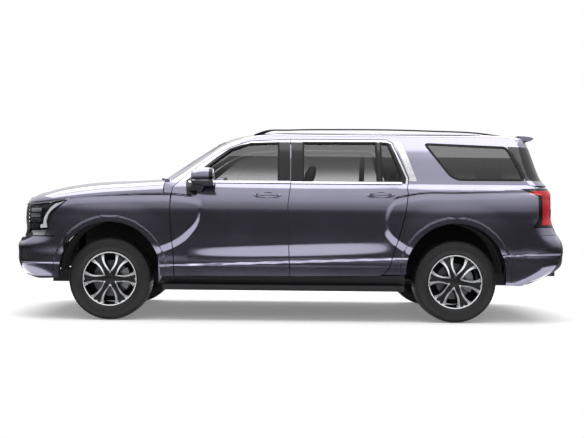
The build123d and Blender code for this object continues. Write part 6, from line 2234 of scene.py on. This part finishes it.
# ---------------------------------------------------------------- cabin
@dataclass
class Seat:
    """Seat or bench with crowned, channelled cushions."""

    name: str
    x: float
    base_z: float
    width: float
    centres: Sequence[float]
    back_height: float
    recline: float = 18.0
    depth: float = 520.0

    def pad(
        self, half: Point3, turn: float, centre: Point3, channels: int, bolster: float,
    ) -> bpy.types.Object:
        """One crowned cushion with sewn channels and raised edges.

        Args:
            half: Half sizes along, across and through the cushion.
            turn: Lean about Y in degrees.
            centre: Middle of the cushion.
            channels: Number of sewn channels across it.
            bolster: Height of the side bolsters.
        """
        n, m = 44, 40
        rings = []
        a, b, c = half
        u = np.linspace(-1, 1, n)
        for t in np.concatenate([[-1.0], np.cos(np.linspace(math.pi * 0.98, math.pi * 0.02, m)), [1.0]]):
            x = a * t
            edge = max(1 - abs(t) ** 5, 0.0) ** 0.5
            side = np.sign(u) * np.abs(np.sin(u * math.pi / 2)) ** 0.9
            wide = b * (0.94 + 0.06 * edge) * side
            crown = (np.maximum(1 - np.abs(side) ** 6, 0)) ** 0.4 * edge
            swell = 1 + 0.1 * (1 - side**2) * (1 - t * t)
            phase = ((t * 0.5 + 0.5) * channels) % 1.0 - 0.5
            groove = 0.10 * np.exp(-((phase / 0.1) ** 2)) * (np.abs(side) < 0.62)
            seam = 0.13 * np.exp(-((np.abs(side) - 0.64) / 0.025) ** 2)
            raise_by = bolster / c * smooth(0.60, 0.80, np.abs(side)) * (1 - smooth(0.88, 1.0, np.abs(side)))
            top = c * crown * (swell - groove - seam + raise_by)
            low = -c * crown * 0.9
            front = np.stack([np.full(n, x), wide, top], 1)
            back = np.stack([np.full(n, x), wide, low], 1)[::-1][1:-1]
            rings.append(np.vstack([front, back]))
        solid = Solid().loft(rings)
        points = np.vstack(solid.points)
        spin = np.array(Matrix.Rotation(math.radians(turn), 3, "Y"))
        solid.points = [points @ spin.T + np.array(centre)]
        solid.slots = [
            0 if len(f) > 4 or abs(points[f[0]][1]) > 0.66 * b or points[f[0]][2] < 0 else 1
            for f in solid.faces
        ]
        return solid.build(f"{self.name}_pad", HIDE, HIDE_CENTRE)

    def build(self, replaced: str) -> None:
        """Makes every cushion and the frames under them."""
        frame = Solid()
        for k, y in enumerate(self.centres):
            half = self.width / 2
            lean = math.radians(self.recline)
            back_x = self.x + self.depth * 0.5 + 30
            mid = self.back_height / 2
            bx, bz = back_x + math.sin(lean) * mid, self.base_z + 70 + math.cos(lean) * mid
            top = (
                back_x + math.sin(lean) * (self.back_height + 95),
                self.base_z + 70 + math.cos(lean) * (self.back_height + 95),
            )
            pads = [
                ("base", self.pad((self.depth / 2, half, 62), -4, (self.x, y, self.base_z), 5, 16)),
                ("back", self.pad((mid, half * 0.97, 56), -90 + self.recline, (bx, y, bz), 6, 20)),
                ("rest", self.pad((82, 135, 46), -90 + self.recline - 6, (top[0] - 4, y, top[1]), 1, 0)),
            ]
            for name, piece in pads:
                piece.name = f"{self.name}_{name}_{k}"
                settle(piece, "chassis", "seat", *((replaced,) if k == 0 and name == "base" else ()))
            frame.box(
                (self.x - self.depth / 2 + 50, y - half + 40, 500),
                (self.x + self.depth / 2 - 10, y + half - 40, self.base_z - 48), 12,
            )
            for dy in (-48, 48):
                low = (
                    back_x + math.sin(lean) * (self.back_height - 20), y + dy,
                    self.base_z + 70 + math.cos(lean) * (self.back_height - 20),
                )
                frame.bar(low, (top[0], y + dy, top[1] - 30), 7, 1, 12)
        settle(frame.build(f"{self.name}_frame", CABIN, SATIN), "chassis", "cabin")


@dataclass
class Cabin:
    """Dashboard, steering wheel and seats."""

    steer_centre: Point3 = (-760.0, -410.0, 1090.0)
    steer_lean: float = 25.0

    def steering(self) -> None:
        """Steering wheel with its rim, spokes and bare hub."""
        solid = Solid()
        turn = np.linspace(0, 2 * math.pi, 64, endpoint=False)
        minor = np.linspace(0, 2 * math.pi, 14, endpoint=False)
        rings = [
            np.stack(
                [
                    15 * np.cos(minor), (182 + 16 * np.sin(minor)) * math.cos(t),
                    (182 + 16 * np.sin(minor)) * math.sin(t),
                ],
                1,
            )
            for t in turn
        ]
        solid.loft(rings, 0, closed=True)
        solid.lathe([(-26, 1), (-26, 50), (-8, 62), (14, 58), (22, 40), (24, 1)], (0, 0, 0), 0, 40, 1)
        for angle, wide in ((0, 26), (180, 26), (270, 20)):
            t = math.radians(angle)
            a, b = np.array([0, math.cos(t), math.sin(t)]), np.array([0, -math.sin(t), math.cos(t)])
            corners = ((-1, -7), (1, -7), (1, 7), (-1, 7))
            rings = [
                np.array([a * r + b * w * p + np.array([q, 0, 0]) for p, q in corners])
                for r, w in ((44, wide * 1.3), (110, wide * 0.8), (176, wide * 0.75))
            ]
            solid.loft(rings, 2 if angle == 270 else 1, False)
        points = np.vstack(solid.points)
        spin = np.array(Matrix.Rotation(math.radians(self.steer_lean), 3, "Y"))
        solid.points = [points @ spin.T + np.array(self.steer_centre)]
        settle(solid.build("steering_rim", HIDE, CABIN, SATIN), "steering_wheel", "cabin", "steering_wheel")

    def dash(self) -> None:
        """Two screens on the CAD dashboard."""
        dress("dashboard", CABIN)
        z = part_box("dashboard")[1][2] / MM
        solid = Solid()
        for y0, y1 in ((-560.0, -260.0), (-110.0, 300.0)):
            solid.box((-1010, y0, z - 14), (-996, y1, z + 108), 5)
        settle(solid.build("screens", PIANO), "chassis", "cabin")

    def build(self) -> None:
        """Makes the cabin."""
        self.steering()
        self.dash()
        for name, node in (
            ("front_seat", "front_seats"), ("middle_seat", "middle_seats"), ("rear_seat", "rear_seats"),
        ):
            low = np.array(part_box(node)[0]) / MM
            centres = (-410.0, 410.0) if name != "rear_seat" else (-270.0, 270.0)
            back = 560.0 if name != "rear_seat" else 480.0
            seat = Seat(
                name, low[0] + 290.0, low[2] + (270.0 if name == "front_seat" else 260.0), 500.0, centres,
                back,
            )
            seat.build(node)


@dataclass
class RunningGear:
    """CAD nodes below the body that stay in view, and a few details on them."""

    finishes: tuple[tuple[str, Finish], ...] = (
        ("ladder_frame", FRAME_BLACK), ("suspension_arms", FRAME_BLACK), ("rear_axle", FRAME_BLACK),
        ("left_knuckle", CAST_IRON), ("right_knuckle", CAST_IRON), ("engine", CAST_IRON),
        ("fuel_tank", TANK), ("exhaust", STAINLESS), ("front_wheelhouses", LINER), ("floor_pan", LINER),
    )
    caliper_section: tuple[Point2, ...] = (
        (120, -50), (188, -54), (196, -40), (196, 14), (182, 20), (120, 14), (120, 4), (180, 4),
        (180, -41), (120, -41),
    )
    shield_section: tuple[Point2, ...] = ((5, 70), (5, 214), (-4, 222), (-4, 226), (8, 226), (8, 70))

    def build(self) -> None:
        """Dresses the CAD nodes and adds the calipers and splash shields."""
        for node, finish in self.finishes:
            dress(node, finish)
        for side in Side:
            for x, body in ((FRONT_AXLE_X, f"{side.word}_knuckle"), (REAR_AXLE_X, "chassis")):
                solid = Solid()
                rings = []
                for t in np.radians(np.linspace(-34, 34, 13)):
                    c, s = math.cos(t), math.sin(t)
                    ring = [(x + r * c, y - WHEEL_Y, TYRE_RADIUS + r * s) for r, y in self.caliper_section]
                    rings.append(np.array(ring))
                solid.loft(rings, 0, False)
                shape = solid.on(side)
                name = f"{'front' if x < 0 else 'rear'}_{side.word}_caliper"
                settle(shape.build(name, CALIPER), body, "iron")
                shield = Solid()
                shield.lathe([(y - WHEEL_Y, r) for y, r in self.shield_section], (x, 0, TYRE_RADIUS))
                shape = shield.on(side)
                settle(shape.build(name.replace("caliper", "splash_shield"), LINER), body, "iron")


# ---------------------------------------------------------------- studio
def seen_rays(tree: bpy.types.NodeTree) -> bpy.types.NodeSocket:
    """One for the rays in which the background shows: camera, glossy and transmission rays."""
    path = add_node(tree, "ShaderNodeLightPath")
    gloss = add_node(
        tree, "ShaderNodeMath", {0: path.outputs["Is Glossy Ray"], 1: path.outputs["Is Transmission Ray"]},
        operation="MAXIMUM",
    )
    seen = add_node(
        tree, "ShaderNodeMath", {0: path.outputs["Is Camera Ray"], 1: gloss.outputs[0]}, operation="MAXIMUM",
    )
    return seen.outputs[0]


@dataclass
class Studio:
    """Floor, lamps, world and camera."""

    lens: float = 52.46
    eye: Point3 = (-0.125, -9.246, 1.044)
    roll: float = 0.56
    floor_radius: float = 4.6
    horizon: float = 0.035

    def camera(self) -> None:
        """Camera at the side of the vehicle, a little above its middle."""
        data = bpy.data.cameras.new("camera")
        data.lens = self.lens
        data.sensor_width = 36.0
        data.shift_x = 14.0 / 584.0
        data.shift_y = -5.0 / 584.0
        thing = bpy.data.objects.new("camera", data)
        thing.location = self.eye
        turn = Matrix.Rotation(math.radians(90), 4, "X") @ Matrix.Rotation(math.radians(self.roll), 4, "Z")
        thing.rotation_euler = turn.to_euler()
        bpy.context.scene.collection.objects.link(thing)
        bpy.context.scene.camera = thing

    def floor(self) -> None:
        """Pale round floor that keeps the shadow and clears to white around it."""
        reach = self.floor_radius
        ring = [
            (reach * math.cos(t), reach * math.sin(t), 0.0)
            for t in np.linspace(0, 2 * math.pi, 96, endpoint=False)
        ]
        mesh = bpy.data.meshes.new("floor")
        mesh.from_pydata(ring, [], [tuple(range(96))])
        material = bpy.data.materials.new("matt white studio floor")
        material.use_nodes = True
        tree = material.node_tree
        tree.nodes.clear()
        matt = add_node(tree, "ShaderNodeBsdfDiffuse", {"Color": linear("#F4F4F4")})
        dull = add_node(tree, "ShaderNodeBsdfDiffuse", {"Color": linear("#8C8C8C")})
        glow = add_node(tree, "ShaderNodeEmission", {"Color": (1, 1, 1, 1), "Strength": 0.2})
        both = add_node(tree, "ShaderNodeAddShader", {0: matt.outputs[0], 1: glow.outputs[0]})
        seen = add_node(
            tree, "ShaderNodeMixShader", {0: seen_rays(tree), 1: dull.outputs[0], 2: both.outputs[0]},
        )
        add_node(tree, "ShaderNodeOutputMaterial", {0: seen.outputs[0]})
        mesh.materials.append(material)
        thing = bpy.data.objects.new("floor", mesh)
        bpy.context.scene.collection.objects.link(thing)

    def hall(self) -> None:
        """Dim hall round the floor, dark at the horizon and paler upwards, that paint and glass reflect."""
        profile = [(self.floor_radius + 0.02, -0.01), (11.5, -0.01), (11.8, 0.0), (12.0, 0.3), (12.0, 8.0)]
        turn = np.linspace(0, 2 * math.pi, 72, endpoint=False)
        points = [(r * math.cos(t), r * math.sin(t), z) for r, z in profile for t in turn]
        faces = [(k * 72 + i, k * 72 + (i + 1) % 72, (k + 1) * 72 + (i + 1) % 72, (k + 1) * 72 + i)
                 for k in range(len(profile) - 1) for i in range(72)]
        mesh = bpy.data.meshes.new("hall")
        mesh.from_pydata(points, [], faces)
        material = bpy.data.materials.new("graded studio hall cloth")
        material.use_nodes = True
        tree = material.node_tree
        tree.nodes.clear()
        place = add_node(tree, "ShaderNodeTexCoord")
        parts = add_node(tree, "ShaderNodeSeparateXYZ", {0: place.outputs["Object"]})
        height = add_node(tree, "ShaderNodeMapRange", {"Value": parts.outputs["Z"], "From Max": 8.0})
        ramp = add_node(tree, "ShaderNodeValToRGB", {0: height.outputs[0]})
        stops = ramp.color_ramp.elements
        stops[0].position, stops[0].color = 0.0, (self.horizon, self.horizon, self.horizon, 1)
        stops[1].position, stops[1].color = 1.0, (0.9, 0.9, 0.92, 1)
        for at, shade in ((0.11, 0.09), (0.15, 0.2), (0.2, 0.34), (0.32, 0.6), (0.6, 0.8)):
            stop = stops.new(at)
            stop.color = (shade, shade, shade * 1.02, 1)
        glow = add_node(tree, "ShaderNodeEmission", {"Color": ramp.outputs[0], "Strength": 1.0})
        add_node(tree, "ShaderNodeOutputMaterial", {0: glow.outputs[0]})
        mesh.materials.append(material)
        thing = bpy.data.objects.new("hall", mesh)
        thing.visible_camera = False
        thing.visible_shadow = False
        bpy.context.scene.collection.objects.link(thing)

    def world(self) -> None:
        """White behind the object and in its gloss, and a softer white for the light."""
        world = bpy.data.worlds.new("studio")
        world.use_nodes = True
        bpy.context.scene.world = world
        tree = world.node_tree
        tree.nodes.clear()
        light = add_node(tree, "ShaderNodeBackground", {"Color": (0.5, 0.5, 0.505, 1), "Strength": 1.0})
        white = add_node(tree, "ShaderNodeBackground", {"Color": (1, 1, 1, 1), "Strength": 1.0})
        seen = add_node(
            tree, "ShaderNodeMixShader", {0: seen_rays(tree), 1: light.outputs[0], 2: white.outputs[0]},
        )
        add_node(tree, "ShaderNodeOutputWorld", {0: seen.outputs[0]})

    def lamps(self) -> None:
        """Two long overhead soft boxes."""
        for name, place, aim, size, power in (
            ("left_overhead", (0.0, -2.0, 5.5), (0, -1.5, 1), (12.0, 3.6), 270.0),
            ("right_overhead", (0.0, 2.2, 5.5), (0, 1.5, 1), (12.0, 3.6), 330.0),
        ):
            data = bpy.data.lights.new(name, "AREA")
            data.shape = "RECTANGLE"
            data.size, data.size_y = size
            data.energy = power
            thing = bpy.data.objects.new(name, data)
            thing.location = place
            thing.rotation_euler = (Vector(aim) - Vector(place)).to_track_quat("-Z", "Y").to_euler()
            bpy.context.scene.collection.objects.link(thing)

    def build(self) -> None:
        """Sets the whole studio."""
        bpy.context.scene.view_settings.view_transform = "Standard"
        self.camera()
        self.floor()
        self.hall()
        self.world()
        self.lamps()


def main() -> None:
    """Builds the vehicle's looks round the CAD frame."""
    logging.basicConfig(level=logging.INFO, format="%(name)s: %(message)s")
    FRAME.update(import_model())
    Studio().build()
    Skins().build()
    for side in Side:
        for front in (True, False):
            Door(side, front).build()
            Wheel(side, front).build()
    Lamps().build()
    Nose().build()
    Glazing().build()
    RoofGear().build()
    Cabin().build()
    RunningGear().build()


if __name__ == "__main__":
    main()
